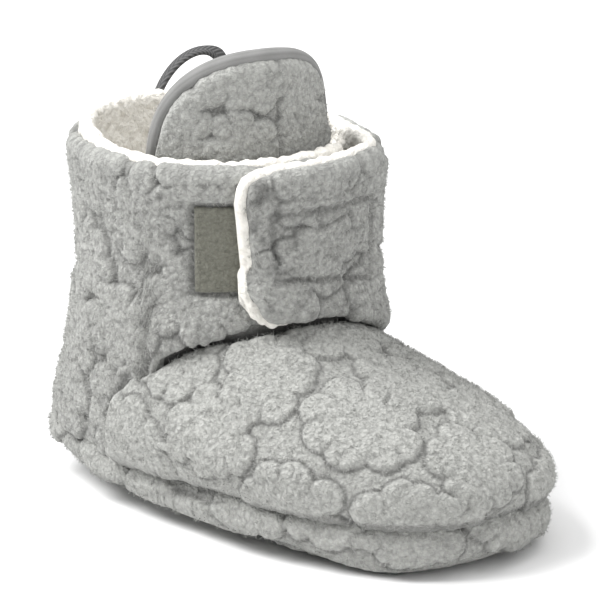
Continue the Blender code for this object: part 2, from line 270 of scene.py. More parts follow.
@dataclass(frozen=True)
class AnkleForm:
    """The ankle's round form, which runs down to the foot's plan at the heel, and the cuff's free edge."""

    foot: FootForm
    middle_x: float = -0.0262
    half_length: float = 0.0330
    half_width: float = 0.0308
    power: float = 2.15
    collar: float = 0.0800
    rim_flare: float = 0.0012
    rim_reach: float = 0.0140
    waist: float = 0.0018
    waist_low: float = 0.0260
    waist_high: float = 0.0600
    waist_start: float = 60.0
    waist_full: float = 120.0
    heel_reach: float = 0.0320
    heel_start: float = 78.0
    heel_full: float = 118.0
    heel_plan_turn: float = 102.0
    wall: float = 0.0040
    front_low: float = 0.0470
    right_low: float = 0.0295
    right_power: float = 0.9
    left_low: float = 0.0292
    left_power: float = 1.75
    cross: float = 40.0
    wrap_front: float = -15.0

    def point(self, degrees: Array, height: Array, out: Number = 0.0) -> Array:
        """Point of the ankle's form.

        Args:
            degrees: Turns round the ankle.
            height: Heights over the floor.
            out: How far the point is moved out.

        Returns:
            The points.
        """
        degrees, height, out = np.broadcast_arrays(degrees, height, out)
        angle = np.radians(degrees)
        turn = (degrees + 180.0) % 360.0 - 180.0
        out = out + self.rim_flare * blend(height, self.collar - self.rim_reach, self.collar)
        taken_in = self.waist * blend(height, self.waist_low, self.waist_high)
        out = out - taken_in * blend(np.abs(turn), self.waist_start, self.waist_full)
        x = self.middle_x + (self.half_length + out) * squared(np.cos(angle), self.power)
        y = (self.half_width + out) * squared(np.sin(angle), self.power)
        low = 1.0 - blend(height, self.foot.seam, self.foot.seam + self.heel_reach)
        low = low * blend(np.abs(turn), self.heel_start, self.heel_full)
        past = np.maximum(0.0, np.abs(turn) - self.heel_start) / (180.0 - self.heel_start)
        heel_turn = np.copysign(between(self.heel_plan_turn, 180.0, past), turn)
        heel_x, heel_y = self.foot.plan(heel_turn, -out)
        return joined(between(x, heel_x, low), between(y, heel_y, low), height)

    def free_edge(self, degrees: Array) -> Array:
        """Height of the cuff's free lower edge over the vamp, highest at the wrap's own front.

        Args:
            degrees: Turns round the ankle.

        Returns:
            The heights over the floor.
        """
        turn = np.radians(np.clip(degrees, -90.0, 90.0))
        front = np.maximum(0.0, np.cos(turn - math.radians(self.wrap_front) * np.cos(turn)))
        left = blend(degrees, -self.cross, self.cross)
        low = between(self.right_low, self.left_low, left)
        power = between(self.right_power, self.left_power, left)
        return between(low, self.front_low, front**power)


@dataclass(frozen=True)
class WrapForm:
    """Quarter and cuff in one piece, from the tab round the heel to the inner wing."""

    ankle: AnkleForm
    inner_end: float = 17.0
    tab_end: float = -35.0
    lap_start: float = 62.0
    lap_full: float = 20.0
    lap_clearance: float = 0.0018
    tab_full: float = -26.0
    tab_fade: float = -8.0
    tab_corner: float = 0.0064
    tab_lean: float = 3.6
    tab_lift: float = 0.0015
    tab_lift_start: float = 21.0
    quarter_turn: float = 82.0
    quarter_blend: float = 12.0
    roll: float = 0.0018
    roll_share: float = 0.3
    grow: float = 0.0
    rise: float = 0.0
    back_rise: float = 0.0
    back_full: float = 0.8
    tuck: float = 0.0
    depth: float = 0.0

    def face(self, across: Array, up: Array) -> Array:
        """Outer face: tab let out by grow, rim by rise, free edge tucked up, all of it set in by depth.

        Args:
            across: Shares from the tab round the heel to the inner wing.
            up: Shares from the lower edge to the rim.

        Returns:
            The points.
        """
        ankle = self.ankle
        spread = math.degrees(self.grow / ankle.half_length)
        last = self.tab_end - 360.0 - spread
        travel = between(last, self.inner_end + spread, across)
        tab = 1.0 - blend(travel + 360.0, self.tab_full, self.tab_fade)
        degrees = (travel + 180.0) % 360.0 - 180.0
        cut = corner_cut(np.radians(travel - last) * ankle.half_length, self.tab_corner + self.grow)
        to_tab = np.maximum(0.0, self.tab_lift_start - 360.0 - travel) / (self.tab_lift_start - self.tab_end)
        down = blend(np.abs(degrees), self.quarter_turn - self.quarter_blend, self.quarter_turn)
        free = ankle.free_edge(degrees)
        seam = ankle.foot.seam + ankle.foot.lift(ankle.point(degrees, ankle.foot.seam)[..., 0])
        let_out = self.grow * tab - self.tuck * (1.0 - tab)
        low = between(free, seam, down) + self.tab_lift * to_tab + cut - let_out * (1.0 - down)
        behind = blend(-np.cos(np.radians(degrees)), 0.0, self.back_full)
        high = ankle.collar - cut + self.rise + self.back_rise * behind
        lap = (ankle.wall + self.lap_clearance) * (1.0 - blend(travel + 360.0, self.lap_full, self.lap_start))
        flare = self.roll * (1.0 - down) * (1.0 - blend(up, 0.0, self.roll_share))
        turned = degrees - self.tab_lean * tab * (up - 0.5)
        return ankle.point(turned, between(low, high, up), lap + flare - self.depth)


@dataclass(frozen=True)
class VampForm:
    """Dome over the toes, from the seam at the sole up to its throat under the cuff."""

    ankle: AnkleForm
    reach: float = 102.5
    throat_turn: float = 89.0
    out_start: float = 58.0
    out_full: float = 88.0
    tuck: float = 0.0035
    side_tuck: float = 0.0008
    side_start: float = 36.0
    clearance: float = 0.0012
    corner_lap: float = 0.0019
    corner_share: float = 0.72
    corner: float = 0.0085
    corner_bulge: float = 0.0004
    bulge_span: float = 0.0220
    handle_share: float = 0.42
    bulge: float = 0.0075
    toe_rise: float = 0.0225
    side_rise: float = 0.0090
    toe_run: float = 0.0220
    side_run: float = 0.0016
    toe_fall: float = 0.0160
    side_fall: float = 0.0080

    def throat_height(self, degrees: Array) -> Array:
        """Height of the throat edge, tucked up behind the cuff's free edge.

        Args:
            degrees: Turns round the ankle.

        Returns:
            The heights over the floor.
        """
        aside = blend(np.abs(degrees), self.side_start, self.out_start)
        to_end = np.radians(self.throat_turn - np.abs(degrees)) * self.ankle.half_width
        tuck = between(self.tuck, self.side_tuck, aside)
        return self.ankle.free_edge(degrees) + tuck - corner_cut(to_end, self.corner)

    def cuff_line(self, start: float, end: float, drop: float, stops: int = 40, checks: int = 60) -> Line:
        """Places on the face that lie a drop under the cuff's free edge.

        Args:
            start: Share across where the line starts.
            end: Share across where it ends.
            drop: How far it lies under the cuff's edge.
            stops: Number of places.
            checks: Number of heights that each place is looked for among.

        Returns:
            The places as (across, up).
        """
        rises = np.linspace(0.0, 1.0, checks)
        line = []
        for across in np.linspace(start, end, stops):
            heights = self.face(np.full_like(rises, across), rises)[:, 2]
            edge = float(self.ankle.free_edge(np.array((2.0 * across - 1.0) * self.throat_turn)))
            line.append((float(across), float(np.interp(edge - drop, heights, rises))))
        return tuple(line)

    def face(self, across: Array, up: Array) -> Array:
        """Outer face of the vamp, each of its lines a cubic curve from the sole to the throat.

        Args:
            across: Shares from the right rear end round the toe to the left one.
            up: Shares from the sole to the throat.

        Returns:
            The points.
        """
        across, up = np.broadcast_arrays(across, up)
        foot_form = self.ankle.foot
        share = 2.0 * across - 1.0
        side = np.radians(90.0 * share)
        front = np.cos(side)
        out = joined(np.cos(side), np.sin(side), 0.0)
        corner = blend(np.abs(share), self.corner_share, 1.0)
        x, y = foot_form.plan(share * self.reach, -self.corner_lap * corner)
        foot = joined(x, y, foot_form.seam + foot_form.lift(x))
        degrees = share * self.throat_turn
        inside = -(self.ankle.wall + self.clearance)
        offset = between(inside, self.corner_lap, blend(np.abs(degrees), self.out_start, self.out_full))
        throat = self.ankle.point(degrees, self.throat_height(degrees), offset)
        span = throat[..., 2] - foot[..., 2]
        full = np.minimum(1.0, span / self.bulge_span)
        most = self.handle_share * span
        low_up = np.minimum(most, between(self.side_rise, self.toe_rise, front))
        low_out = between(self.bulge, self.corner_bulge, corner) * full
        high_out = between(self.side_run, self.toe_run, front)
        high_down = np.minimum(most, between(self.side_fall, self.toe_fall, front))
        low = foot + UPWARD * low_up[..., None] + out * low_out[..., None]
        high = throat + out * high_out[..., None] - UPWARD * high_down[..., None]
        step = up[..., None]
        rest = 1.0 - step
        return foot * rest**3 + low * 3.0 * rest**2 * step + high * 3.0 * rest * step**2 + throat * step**3


@dataclass(frozen=True)
class TongueForm:
    """Curved tongue that stands up from the vamp's throat, and the arch of its bound edge."""

    vamp: VampForm
    middle: float = -16.0
    turn: float = 61.0
    wall: float = 0.0034
    top: float = 0.1030
    side_top: float = 0.0720
    power: float = 2.3
    lean: float = 0.0040
    tape_radius: float = 0.0018
    tape_cover: float = 0.3
    drop: float = 0.0
    checks: int = 400

    @property
    def half_width(self) -> float:
        """Half of the tongue's width round its curve."""
        ankle = self.vamp.ankle
        return math.radians(self.turn) * (ankle.half_width - ankle.wall - self.vamp.clearance - self.wall / 2)

    def arch(self, share: Array) -> Array:
        """Height of the arched top at a share -1 to 1 across it."""
        return between(self.side_top, self.top, (1.0 - np.abs(share) ** self.power) ** (1.0 / self.power))

    def edge(self, share: Array) -> Array:
        """Height of the tongue's own edge under the round tape.

        Args:
            share: Shares -1 to 1 across the tongue.

        Returns:
            The heights over the floor.
        """
        place = np.sin(np.pi * (np.arange(self.checks + 1) / self.checks - 0.5))
        table = np.linspace(-1.0, 1.0, self.checks + 1)
        aside = (place[None, :] - table[:, None]) * self.half_width
        under = self.arch(place)[None, :] - np.sqrt(np.maximum(0.0, self.tape_radius**2 - aside**2))
        height = np.where(np.abs(aside) < self.tape_radius, under, self.top).min(axis=1)
        return np.interp(share, table, height)

    def point(self, share: Array, height: Array, depth: Number = 0.0) -> Array:
        """Point of the tongue.

        Args:
            share: Shares -1 to 1 across the tongue.
            height: Heights over the floor.
            depth: How far the point lies under the outer face.

        Returns:
            The points.
        """
        ankle = self.vamp.ankle
        degrees = self.middle + share * self.turn
        level = np.minimum(height, ankle.collar - ankle.rim_reach)
        point = ankle.point(degrees, level, -(ankle.wall + self.vamp.clearance) - depth)
        lean = self.lean * blend(height, ankle.front_low, self.top)
        return joined(point[..., 0] - lean, point[..., 1], height)

    def face(self, across: Array, up: Array) -> Array:
        """Outer face of the tongue.

        Args:
            across: Shares from its right edge to its left one.
            up: Shares from the vamp's throat up into the tape.

        Returns:
            The points.
        """
        share = (2.0 * across - 1.0) * (1.0 - self.tape_cover * self.tape_radius / self.half_width)
        low = self.vamp.throat_height(self.middle + share * self.turn) - self.drop
        return self.point(share, between(low, self.edge(share), up))


class Grain:
    """Seeded lattice noise in space."""

    def __init__(self, seed: int) -> None:
        """Keep the seed that tells one grain from another."""
        self.seed = np.uint64(seed)

    def _hash(self, cells: Array, salt: int) -> Array:
        """Numbers 0 to 1 that belong to lattice cells.

        Args:
            cells: Whole-number cells, three to a row.
            salt: Tells several numbers of one cell apart.

        Returns:
            One number for each cell.
        """
        keys = cells.astype(np.int64).astype(np.uint64)
        mixed = keys[..., 0] * HASH_KEYS[0]
        mixed ^= keys[..., 1] * HASH_KEYS[1]
        mixed ^= keys[..., 2] * HASH_KEYS[2]
        mixed ^= (self.seed + np.uint64(salt)) * HASH_MIX
        mixed ^= mixed >> np.uint64(32)
        mixed *= HASH_MIX
        mixed ^= mixed >> np.uint64(29)
        return (mixed >> np.uint64(11)).astype(np.float64) / float(2**53)

    def soft(self, points: Array, size: float) -> Array:
        """Smooth noise.

        Args:
            points: Points to give a value to.
            size: Size of its lumps.

        Returns:
            Values from -1 to 1.
        """
        place = points / size
        cell = np.floor(place)
        share = place - cell
        share = share * share * (3.0 - 2.0 * share)
        total = np.zeros(points.shape[:-1])
        for corner in np.ndindex(2, 2, 2):
            step = np.array(corner)
            weight = np.prod(np.where(step == 1, share, 1.0 - share), axis=-1)
            total += weight * self._hash(cell + step, 0)
        return total * 2.0 - 1.0

    def nubs(self, points: Array, size: float) -> Array:
        """Round nubs.

        Args:
            points: Points to give a value to.
            size: About how far the nubs are apart.

        Returns:
            Values from 0 in the gaps to 1 on the tops.
        """
        place = points / size
        cell = np.floor(place)
        nearest = np.full(points.shape[:-1], 9.0)
        for step in np.ndindex(3, 3, 3):
            other = cell + np.array(step) - 1.0
            spot = other + np.stack([self._hash(other, salt) for salt in (1, 2, 3)], axis=-1)
            nearest = np.minimum(nearest, np.sum((spot - place) ** 2, axis=-1))
        return np.clip(1.0 - nearest, 0.0, 1.0)

    def curls(self, points: Array, size: float, warp: float) -> Array:
        """Nubs pulled out of round by a warp."""
        shift = np.stack([self.soft(points + offset, 1.6 * size) for offset in (0.0, 0.37, 0.71)], axis=-1)
        return self.nubs(points + warp * shift, size)


@dataclass(frozen=True)
class Crease:
    """Soft trough pressed into cloth along a line of (across, up) places on a face, with painted shade along
    it.
    """

    face: Face
    line: Line
    depth: float = 0.0010
    width: float = 0.0009
    shade: float = 0.7
    samples: int = 30
    reach: float = 0.0

    def mould(self, points: Array, height: Array, relief: Array) -> HeightAndLight:
        """Press the trough into a pile and paint shade along it.

        Args:
            points: Points of the cloth.
            height: The pile's height at each of them.
            relief: The painted light at each of them, from painted shade in the grooves to 1 on top.

        Returns:
            The new heights and shares.
        """
        stops = np.array(self.line)
        steps = np.linspace(0.0, 1.0, self.samples, endpoint=False)[:, None]
        legs = [between(start, end, steps) for start, end in zip(stops, stops[1:])]
        route = np.concatenate([*legs, stops[-1:]])
        apart = np.sqrt(nearest_square(points, self.face(route[:, 0], route[:, 1])))
        weight = np.exp(-((np.maximum(0.0, apart - self.reach) / self.width) ** 2))
        # Painted shade along the trough, strongest on its line.
        return height - self.depth * weight, relief * (1.0 - self.shade * weight)


@dataclass(frozen=True)
class Press:
    """Pile held flat round some spots, under pieces that are sewn or printed on, with painted shade round
    them.
    """

    spots: Array
    margin: float = 0.0009
    level: float = 0.0006
    slope: float = 0.0012
    shade: float = 0.35

    @classmethod
    def under(cls, face: Face, samples: int = 16) -> "Press":
        """The press of a piece that covers a face."""
        shares = np.linspace(0.0, 1.0, samples)
        return cls(face(shares[None, :], shares[:, None]).reshape(-1, 3))

    def mould(self, points: Array, height: Array, relief: Array) -> HeightAndLight:
        """Flatten a pile under the pieces and paint shade round them.

        Args:
            points: Points of the cloth.
            height: The pile's height at each of them.
            relief: The painted light at each of them, from painted shade in the grooves to 1 on top.

        Returns:
            The new heights and shares.
        """
        clear = np.sqrt(nearest_square(points, self.spots))
        weight = 1.0 - blend(clear, self.margin, self.margin + self.slope)
        # Painted shade where the pile is held flat round the pieces.
        return between(height, self.level, weight), relief * (1.0 - self.shade * weight)


Mould = Union[Crease, Press]


def moulded(points: Array, height: Array, relief: Array, moulds: Sequence[Mould]) -> HeightAndLight:
    """Press moulds into a pile one after the other.

    Args:
        points: Points of the cloth.
        height: The pile's height at each of them.
        relief: The painted light at each of them, from painted shade in the grooves to 1 on top.
        moulds: Troughs and flat places.

    Returns:
        The new heights and shares.
    """
    for mould in moulds:
        height, relief = mould.mould(points, height, relief)
    return height, np.clip(relief, 0.0, 1.0)


@dataclass(frozen=True)
class CloudPile:
    """High and low pile: raised clumps with lobed edges and nubs of curled yarn, and low pile between."""

    seed: int
    pitch: float = 0.0160
    crowding: float = 1.14
    core: float = 0.0056
    lobe_reach: float = 0.0060
    lobe: float = 0.0036
    lobes: int = 8
    rise: float = 0.0015
    shoulder: float = 0.0017
    low_rise: float = 0.0004
    notch: float = 0.0006
    nub: float = 0.0017
    nub_rise: float = 0.00060
    fine: float = 0.0010
    fine_rise: float = 0.00030
    warp: float = 0.0005
    merge: float = 0.0012
    # Painted light left in the grooves, and how much painted shade falls in the gaps between curls.
    groove_light: float = 0.36
    curl_shade: float = 0.55
    tries: int = 6000
    neighbours: int = 3
    size_limits: tuple[float, float] = (0.9, 1.5)
    turn_spread: float = 0.5
    reach_low: float = 0.82
    reach_spread: float = 0.36
    radius_low: float = 0.85
    radius_spread: float = 0.3
    outside: float = -0.0040
    edge_span: tuple[float, float] = (-0.0020, 0.0012)
    merge_size: float = 0.0090
    fray: float = 0.0004
    fray_size: float = 0.0019
    swell_size: float = 0.0120
    low_span: tuple[float, float] = (0.0002, 0.0010)
    light_span: tuple[float, float] = (-0.0004, 0.0006)

    def clumps(self, face: Face) -> list[tuple[Array, Array]]:
        """Clumps that fill a face.

        Args:
            face: Face to fill.

        Returns:
            For each clump, the middles and the radii of the balls that make it up, its core first.
        """
        chance = np.random.default_rng(self.seed)
        shares = chance.random((self.tries, 2))
        spots = face(shares[:, 0], shares[:, 1])
        kept: list[int] = []
        for index, spot in enumerate(spots):
            if not kept or np.min(np.sum((spots[kept] - spot) ** 2, axis=-1)) > self.pitch**2:
                kept.append(index)
        middles = spots[kept]
        normals = face_frame(face, shares[kept, 0], shares[kept, 1])[0]
        made = []
        for middle, normal in zip(middles, normals):
            apart = np.sort(np.linalg.norm(middles - middle, axis=-1))[1 : self.neighbours + 1]
            size = self.crowding * np.mean(apart) / (2.0 * (self.core + self.lobe))
            size = np.clip(size, *self.size_limits)
            first = unit(np.cross(normal, SLANT))
            second = np.cross(normal, first)
            steps = np.arange(self.lobes) + chance.random(self.lobes) * self.turn_spread
            turns = steps * 2.0 * np.pi / self.lobes
            reach = self.lobe_reach * size * (self.reach_low + self.reach_spread * chance.random(self.lobes))
            around = swung(turns[:, None], first, second)
            balls = np.concatenate([middle[None, :], middle + around * reach[:, None]])
            radii = self.lobe * size * (self.radius_low + self.radius_spread * chance.random(self.lobes))
            made.append((balls, np.concatenate([[self.core * size], radii])))
        return made

    def heights(self, face: Face, points: Array, moulds: Sequence[Mould]) -> HeightAndLight:
        """Height and painted light of the pile.

        Args:
            face: Face that the pile grows on.
            points: Points on that face.
            moulds: Troughs and flat places pressed into it.

        Returns:
            The pile's height at each point, and its painted light, from painted shade in the grooves to 1 on
            the clumps.
        """
        best = np.full(len(points), self.outside)
        second = np.full(len(points), self.outside)
        split = np.zeros(len(points))
        for balls, radii in self.clumps(face):
            near = np.flatnonzero(np.sum((points - balls[0]) ** 2, axis=-1) < (1.5 * self.pitch) ** 2)
            if len(near) == 0:
                continue
            apart = np.linalg.norm(points[near][None, :, :] - balls[:, None, :], axis=-1)
            deep = radii[:, None] - apart
            lobes = np.sort(deep[1:], axis=0)
            clump = np.max(deep, axis=0)
            edge = 1.0 - blend(deep[0], *self.edge_span)
            notch = edge * np.exp(-(((lobes[-1] - lobes[-2]) / self.notch) ** 2))
            ahead = clump > best[near]
            split[near] = np.where(ahead, notch, split[near])
            second[near] = np.maximum(second[near], np.minimum(best[near], clump))
            best[near] = np.maximum(best[near], clump)
        grain = Grain(self.seed)
        merge = self.merge * blend(grain.soft(points, self.merge_size), -0.25, 0.6)
        fray = self.fray * grain.soft(points, self.fray_size)
        inside = np.minimum(best, (best - second) * 0.75 + merge) + fray
        share = np.clip(inside / self.shoulder, 0.0, 1.0)
        plush = np.sqrt(1.0 - (1.0 - share) ** 2) * (1.0 - 0.45 * split)
        nubs = grain.curls(points, self.nub, self.warp)
        fine = grain.curls(points, self.fine, self.warp)
        swell = 0.86 + 0.14 * grain.soft(points, self.swell_size)
        height = between(self.low_rise, self.rise * swell, plush)
        height = height + (self.nub_rise * nubs + self.fine_rise * fine) * (0.5 + 0.5 * plush)
        # Painted light: painted shade in the grooves between clumps and in the notches between lobes, less of
        # it on the low pile, and painted shade in the gaps between curls.
        low_pile = 0.86 * blend(-inside, *self.low_span)
        relief = np.maximum(blend(inside, *self.light_span) * (1.0 - 0.4 * split), low_pile)
        relief = between(self.groove_light, 1.0, relief)
        relief = relief * (1.06 - self.curl_shade * (1.0 - 0.55 * nubs - 0.45 * fine))
        return moulded(points, height, relief, moulds)


@dataclass(frozen=True)
class TeddyPile:
    """Even, deep pile of curled nubs."""

    seed: int
    nub: float = 0.0022
    nub_rise: float = 0.0009
    fine: float = 0.0009
    fine_rise: float = 0.0002
    warp_share: float = 0.3

    def heights(self, face: Face, points: Array, moulds: Sequence[Mould]) -> HeightAndLight:
        """Height and painted light of the pile.

        Args:
            face: Face that the pile grows on; not used.
            points: Points on that face.
            moulds: Troughs and flat places pressed into it.

        Returns:
            The pile's height at each point, and its painted light, from painted shade in the gaps to 1 on the
            nubs.
        """
        grain = Grain(self.seed)
        nubs = grain.curls(points, self.nub, self.warp_share * self.nub)
        height = self.nub_rise * nubs + self.fine_rise * grain.soft(points, self.fine)
        # Painted shade in the gaps between the nubs.
        return moulded(points, height, 0.4 + 0.6 * nubs, moulds)


@dataclass(frozen=True)
class PlainCloth:
    """Cloth with no pile."""

    def heights(self, face: Face, points: Array, moulds: Sequence[Mould]) -> HeightAndLight:
        """Height and painted shade of the moulds alone."""
        return moulded(points, np.zeros(len(points)), np.ones(len(points)), moulds)


Pile = Union[CloudPile, TeddyPile, PlainCloth]


class Socket:
    """A shader value that Python's operators work on."""

    def __init__(self, paint: "Paint", socket: bpy.types.NodeSocket) -> None:
        """Wrap an output socket of a paint's nodes."""
        self.paint = paint
        self.socket = socket

    def _math(self, operation: str, first: "Value", second: "Value") -> "Socket":
        """Add a Math node.

        Args:
            operation: The node's operation.
            first: Its first value.
            second: Its second value.

        Returns:
            The node's result.
        """
        return self.paint.node("ShaderNodeMath", {"operation": operation}, {0: first, 1: second})

    def __add__(self, other: "Value") -> "Socket":
        """Sum."""
        return self._math("ADD", self, other)

    def __radd__(self, other: "Value") -> "Socket":
        """Sum with the value on the right."""
        return self._math("ADD", other, self)

    def __sub__(self, other: "Value") -> "Socket":
        """Difference."""
        return self._math("SUBTRACT", self, other)

    def __rsub__(self, other: "Value") -> "Socket":
        """Difference with the value on the right."""
        return self._math("SUBTRACT", other, self)

    def __mul__(self, other: "Value") -> "Socket":
        """Product."""
        return self._math("MULTIPLY", self, other)

    def __rmul__(self, other: "Value") -> "Socket":
        """Product with the value on the right."""
        return self._math("MULTIPLY", other, self)

    def sine(self) -> "Socket":
        """Sine of the value."""
        return self._math("SINE", self, 0.0)

    def absolute(self) -> "Socket":
        """Value without its sign."""
        return self._math("ABSOLUTE", self, 0.0)


Value = Union[Socket, float]


class Paint:
    """One material's nodes, ending in a Principled shader."""

    def __init__(self, name: str, constants: dict[str, Any]) -> None:
        """Start a material.

        Args:
            name: Name of the finish.
            constants: Values of the shader's sockets that are the same all over.
        """
        self.material = bpy.data.materials.new(name)
        self.material.use_nodes = True
        self.tree = self.material.node_tree
        self.shader = self.tree.nodes["Principled BSDF"]
        for socket, value in constants.items():
            self.shader.inputs[socket].default_value = value

    def node(
        self,
        kind: str,
        settings: Optional[dict[str, Any]] = None,
        inputs: Optional[dict[Union[int, str], Any]] = None,
        output: Union[int, str] = 0,
    ) -> Socket:
        """Add a node.

        Args:
            kind: Type of the node.
            settings: Its properties, set first.
            inputs: Values or links of its sockets.
            output: The output to return.

        Returns:
            That output.
        """
        made = self.tree.nodes.new(kind)
        for key, value in (settings or {}).items():
            setattr(made, key, value)
        for key, value in (inputs or {}).items():
            if isinstance(value, Socket):
                self.tree.links.new(value.socket, made.inputs[key])
            else:
                made.inputs[key].default_value = value
        return Socket(self, made.outputs[output])

    def place(self) -> Socket:
        """Object coordinates."""
        return self.node("ShaderNodeTexCoord", output="Object")

    def weave(self) -> tuple[Socket, Socket]:
        """The two shares of the piece's own UV map.

        Returns:
            The share along the piece and the share round it.
        """
        split = {"Vector": self.node("ShaderNodeTexCoord", output="UV")}
        along = self.node("ShaderNodeSeparateXYZ", {}, split, "X")
        around = self.node("ShaderNodeSeparateXYZ", {}, split, "Y")
        return along, around

    def attribute(self, name: str) -> Socket:
        """A number kept on the mesh's points."""
        return self.node("ShaderNodeAttribute", {"attribute_name": name}, output="Fac")

    def noise(self, size: float, detail: float = 2.0) -> Socket:
        """Noise 0 to 1 with lumps of a size."""
        inputs = {"Vector": self.place(), "Scale": 1.0 / size, "Detail": detail}
        return self.node("ShaderNodeTexNoise", {}, inputs, "Fac")

    def cells(self, size: float, warp: float = 0.0) -> Socket:
        """Round cells.

        Args:
            size: About how far their middles are apart.
            warp: How far they are pulled out of round.

        Returns:
            The distance to the nearest middle.
        """
        place = self.place()
        if warp:
            noise = self.node("ShaderNodeTexNoise", {}, {"Vector": place, "Scale": 0.8 / size}, "Color")
            inputs = {0: noise, 1: (warp, warp, warp), 2: place}
            place = self.node("ShaderNodeVectorMath", {"operation": "MULTIPLY_ADD"}, inputs)
        return self.node("ShaderNodeTexVoronoi", {}, {"Vector": place, "Scale": 1.0 / size}, "Distance")

    def mix(self, share: Value, first: Any, second: Any) -> Socket:
        """Mix of two colours.

        Args:
            share: 0 for the first and 1 for the second.
            first: A colour or a socket.
            second: A colour or a socket.

        Returns:
            The mixed colour.
        """
        first, second = [item if isinstance(item, Socket) else (*item, 1.0) for item in (first, second)]
        return self.node("ShaderNodeMix", {"data_type": "RGBA"}, {0: share, 6: first, 7: second}, 2)

    def feed(self, socket: str, value: Socket) -> None:
        """Link a value to one of the shader's sockets."""
        self.tree.links.new(value.socket, self.shader.inputs[socket])

    def bump(self, height: Socket, distance: float, strength: float) -> None:
        """Raise the surface's shading by a height."""
        inputs = {"Height": height, "Distance": distance, "Strength": strength}
        self.feed("Normal", self.node("ShaderNodeBump", {}, inputs))


@dataclass(frozen=True)
class PileFinish:
    """Curled pile: its own colour on its nubs, painted shade down in its grooves and in the gaps between its
    curls.
    """

    name: str
    top: Colour
    shade_colour: Colour
    nub: float
    gap_shade_and_mottle: float
    bump: float
    fuzz_share: float = 0.4
    tone_size: float = 0.016

    def build(self) -> bpy.types.Material:
        """Make the material.

        Returns:
            The material.
        """
        sheen = {"Sheen Weight": 0.18, "Sheen Roughness": 0.6}
        paint = Paint(self.name, {"Roughness": 1.0, "Specular IOR Level": 0.1, **sheen})
        curls = paint.cells(self.nub, self.nub)
        fuzz = paint.noise(self.nub * self.fuzz_share, 3.0)
        tone = paint.noise(self.tone_size, 1.0)
        relief = paint.attribute(PAINTED_LIGHT)
        # Painted shade in the gaps between curls, with random mottle from the fuzz noise.
        curl_shade_and_mottle = (1.0 - self.gap_shade_and_mottle) + self.gap_shade_and_mottle * (1.15 - curls) * (0.55 + 0.9 * fuzz)
        # Mix share: the pile's painted light times the curls' painted shade and a random tone; 0 gives the
        # painted shade colour, 1 the pile's own top colour.
        light = relief * curl_shade_and_mottle * (0.92 + 0.16 * tone)
        paint.feed("Base Color", paint.mix(light, self.shade_colour, self.top))
        paint.bump((1.0 - curls) + 0.9 * fuzz, self.nub * 0.6, self.bump)
        return paint.material


@dataclass(frozen=True)
class KnitFinish:
    """Smooth knitted tape with fine ribs along it."""

    name: str
    light: Colour
    dark: Colour
    ribs: float
    stretch: float = 11.0
    grain: float = 0.0006
    bump: float = 0.00025

    def build(self) -> bpy.types.Material:
        """Make the material.

        Returns:
            The material.
        """
        paint = Paint(self.name, {"Roughness": 0.85, "Specular IOR Level": 0.2, "Sheen Weight": 0.12})
        along, around = paint.weave()
        rib = (around * (self.ribs * math.pi)).sine().absolute()
        loops = (along * (self.ribs * self.stretch) + around * self.ribs).sine() * 0.5 + 0.5
        grain = paint.noise(self.grain, 2.0)
        light = rib * 0.45 + loops * 0.25 + grain * 0.3
        paint.feed("Base Color", paint.mix(light, self.dark, self.light))
        paint.bump(light, self.bump, 0.6)
        return paint.material


@dataclass(frozen=True)
class WovenFinish:
    """Woven tape with slanted ribs that meet in the middle."""

    name: str
    light: Colour
    dark: Colour
    picks: float
    middle: float = 0.25
    slant: float = 40.0
    grain: float = 0.0004
    bump: float = 0.0003

    def build(self) -> bpy.types.Material:
        """Make the material.

        Returns:
            The material.
        """
        paint = Paint(self.name, {"Roughness": 0.75, "Specular IOR Level": 0.25})
        along, around = paint.weave()
        aside = (around - self.middle).absolute()
        rib = (along * (self.picks * math.pi) + aside * self.slant).sine() * 0.5 + 0.5
        grain = paint.noise(self.grain, 2.0)
        light = rib * 0.75 + grain * 0.25
        paint.feed("Base Color", paint.mix(light, self.dark, self.light))
        paint.bump(light, self.bump, 0.7)
        return paint.material


@dataclass(frozen=True)
class MatteFinish:
    """Plain matte skin with a fine grain and slight wear in its tone."""

    name: str
    light: Colour
    dark: Colour
    grain: float
    roughness: float
    bump: float
    tone_share: float = 9.0

    def build(self) -> bpy.types.Material:
        """Make the material.

        Returns:
            The material.
        """
        paint = Paint(self.name, {"Specular IOR Level": 0.35})
        cells = paint.cells(self.grain)
        tone = paint.noise(self.grain * self.tone_share, 3.0)
        paint.feed("Base Color", paint.mix(tone * 0.7 + cells * 0.4, self.light, self.dark))
        paint.feed("Roughness", self.roughness + 0.12 * tone)
        paint.bump(1.0 - cells, self.grain * 0.3, self.bump)
        return paint.material


def clear_selection() -> None:
    """Leave nothing selected or being edited."""
    if bpy.context.mode != "OBJECT":
        bpy.ops.object.mode_set(mode="OBJECT")
    bpy.ops.object.select_all(action="DESELECT")


def grid_object(name: str, columns: int, rows: int) -> bpy.types.Object:
    """Add a flat grid to be shaped, with its UV map running across and up it.

    Args:
        name: Name of the piece.
        columns: Faces across.
        rows: Faces up.

    Returns:
        The grid, active and alone selected.
    """
    clear_selection()
    bpy.ops.mesh.primitive_grid_add(x_subdivisions=columns, y_subdivisions=rows, size=1.0, calc_uvs=True)
    made = bpy.context.object
    made.name = name
    made.data.name = name
    return made


def shape_grid(made: bpy.types.Object, points: Array, relief: Array) -> None:
    """Move a grid's points, close its seams and turn its faces outwards.

    Args:
        made: The grid.
        points: A place for each of its points.
        relief: The painted light for each point, from painted shade in the grooves to 1 on top.
    """
    made.data.vertices.foreach_set("co", np.ascontiguousarray(points, dtype=np.float32).ravel())
    layer = made.data.attributes.new(PAINTED_LIGHT, "FLOAT", "POINT")
    layer.data.foreach_set("value", np.ascontiguousarray(relief, dtype=np.float32).ravel())
    bpy.ops.object.mode_set(mode="EDIT")
    bpy.ops.mesh.select_all(action="SELECT")
    bpy.ops.mesh.remove_doubles(threshold=MERGE_DISTANCE)
    bpy.ops.mesh.normals_make_consistent(inside=False)
    bpy.ops.object.mode_set(mode="OBJECT")
    bpy.ops.object.shade_smooth()


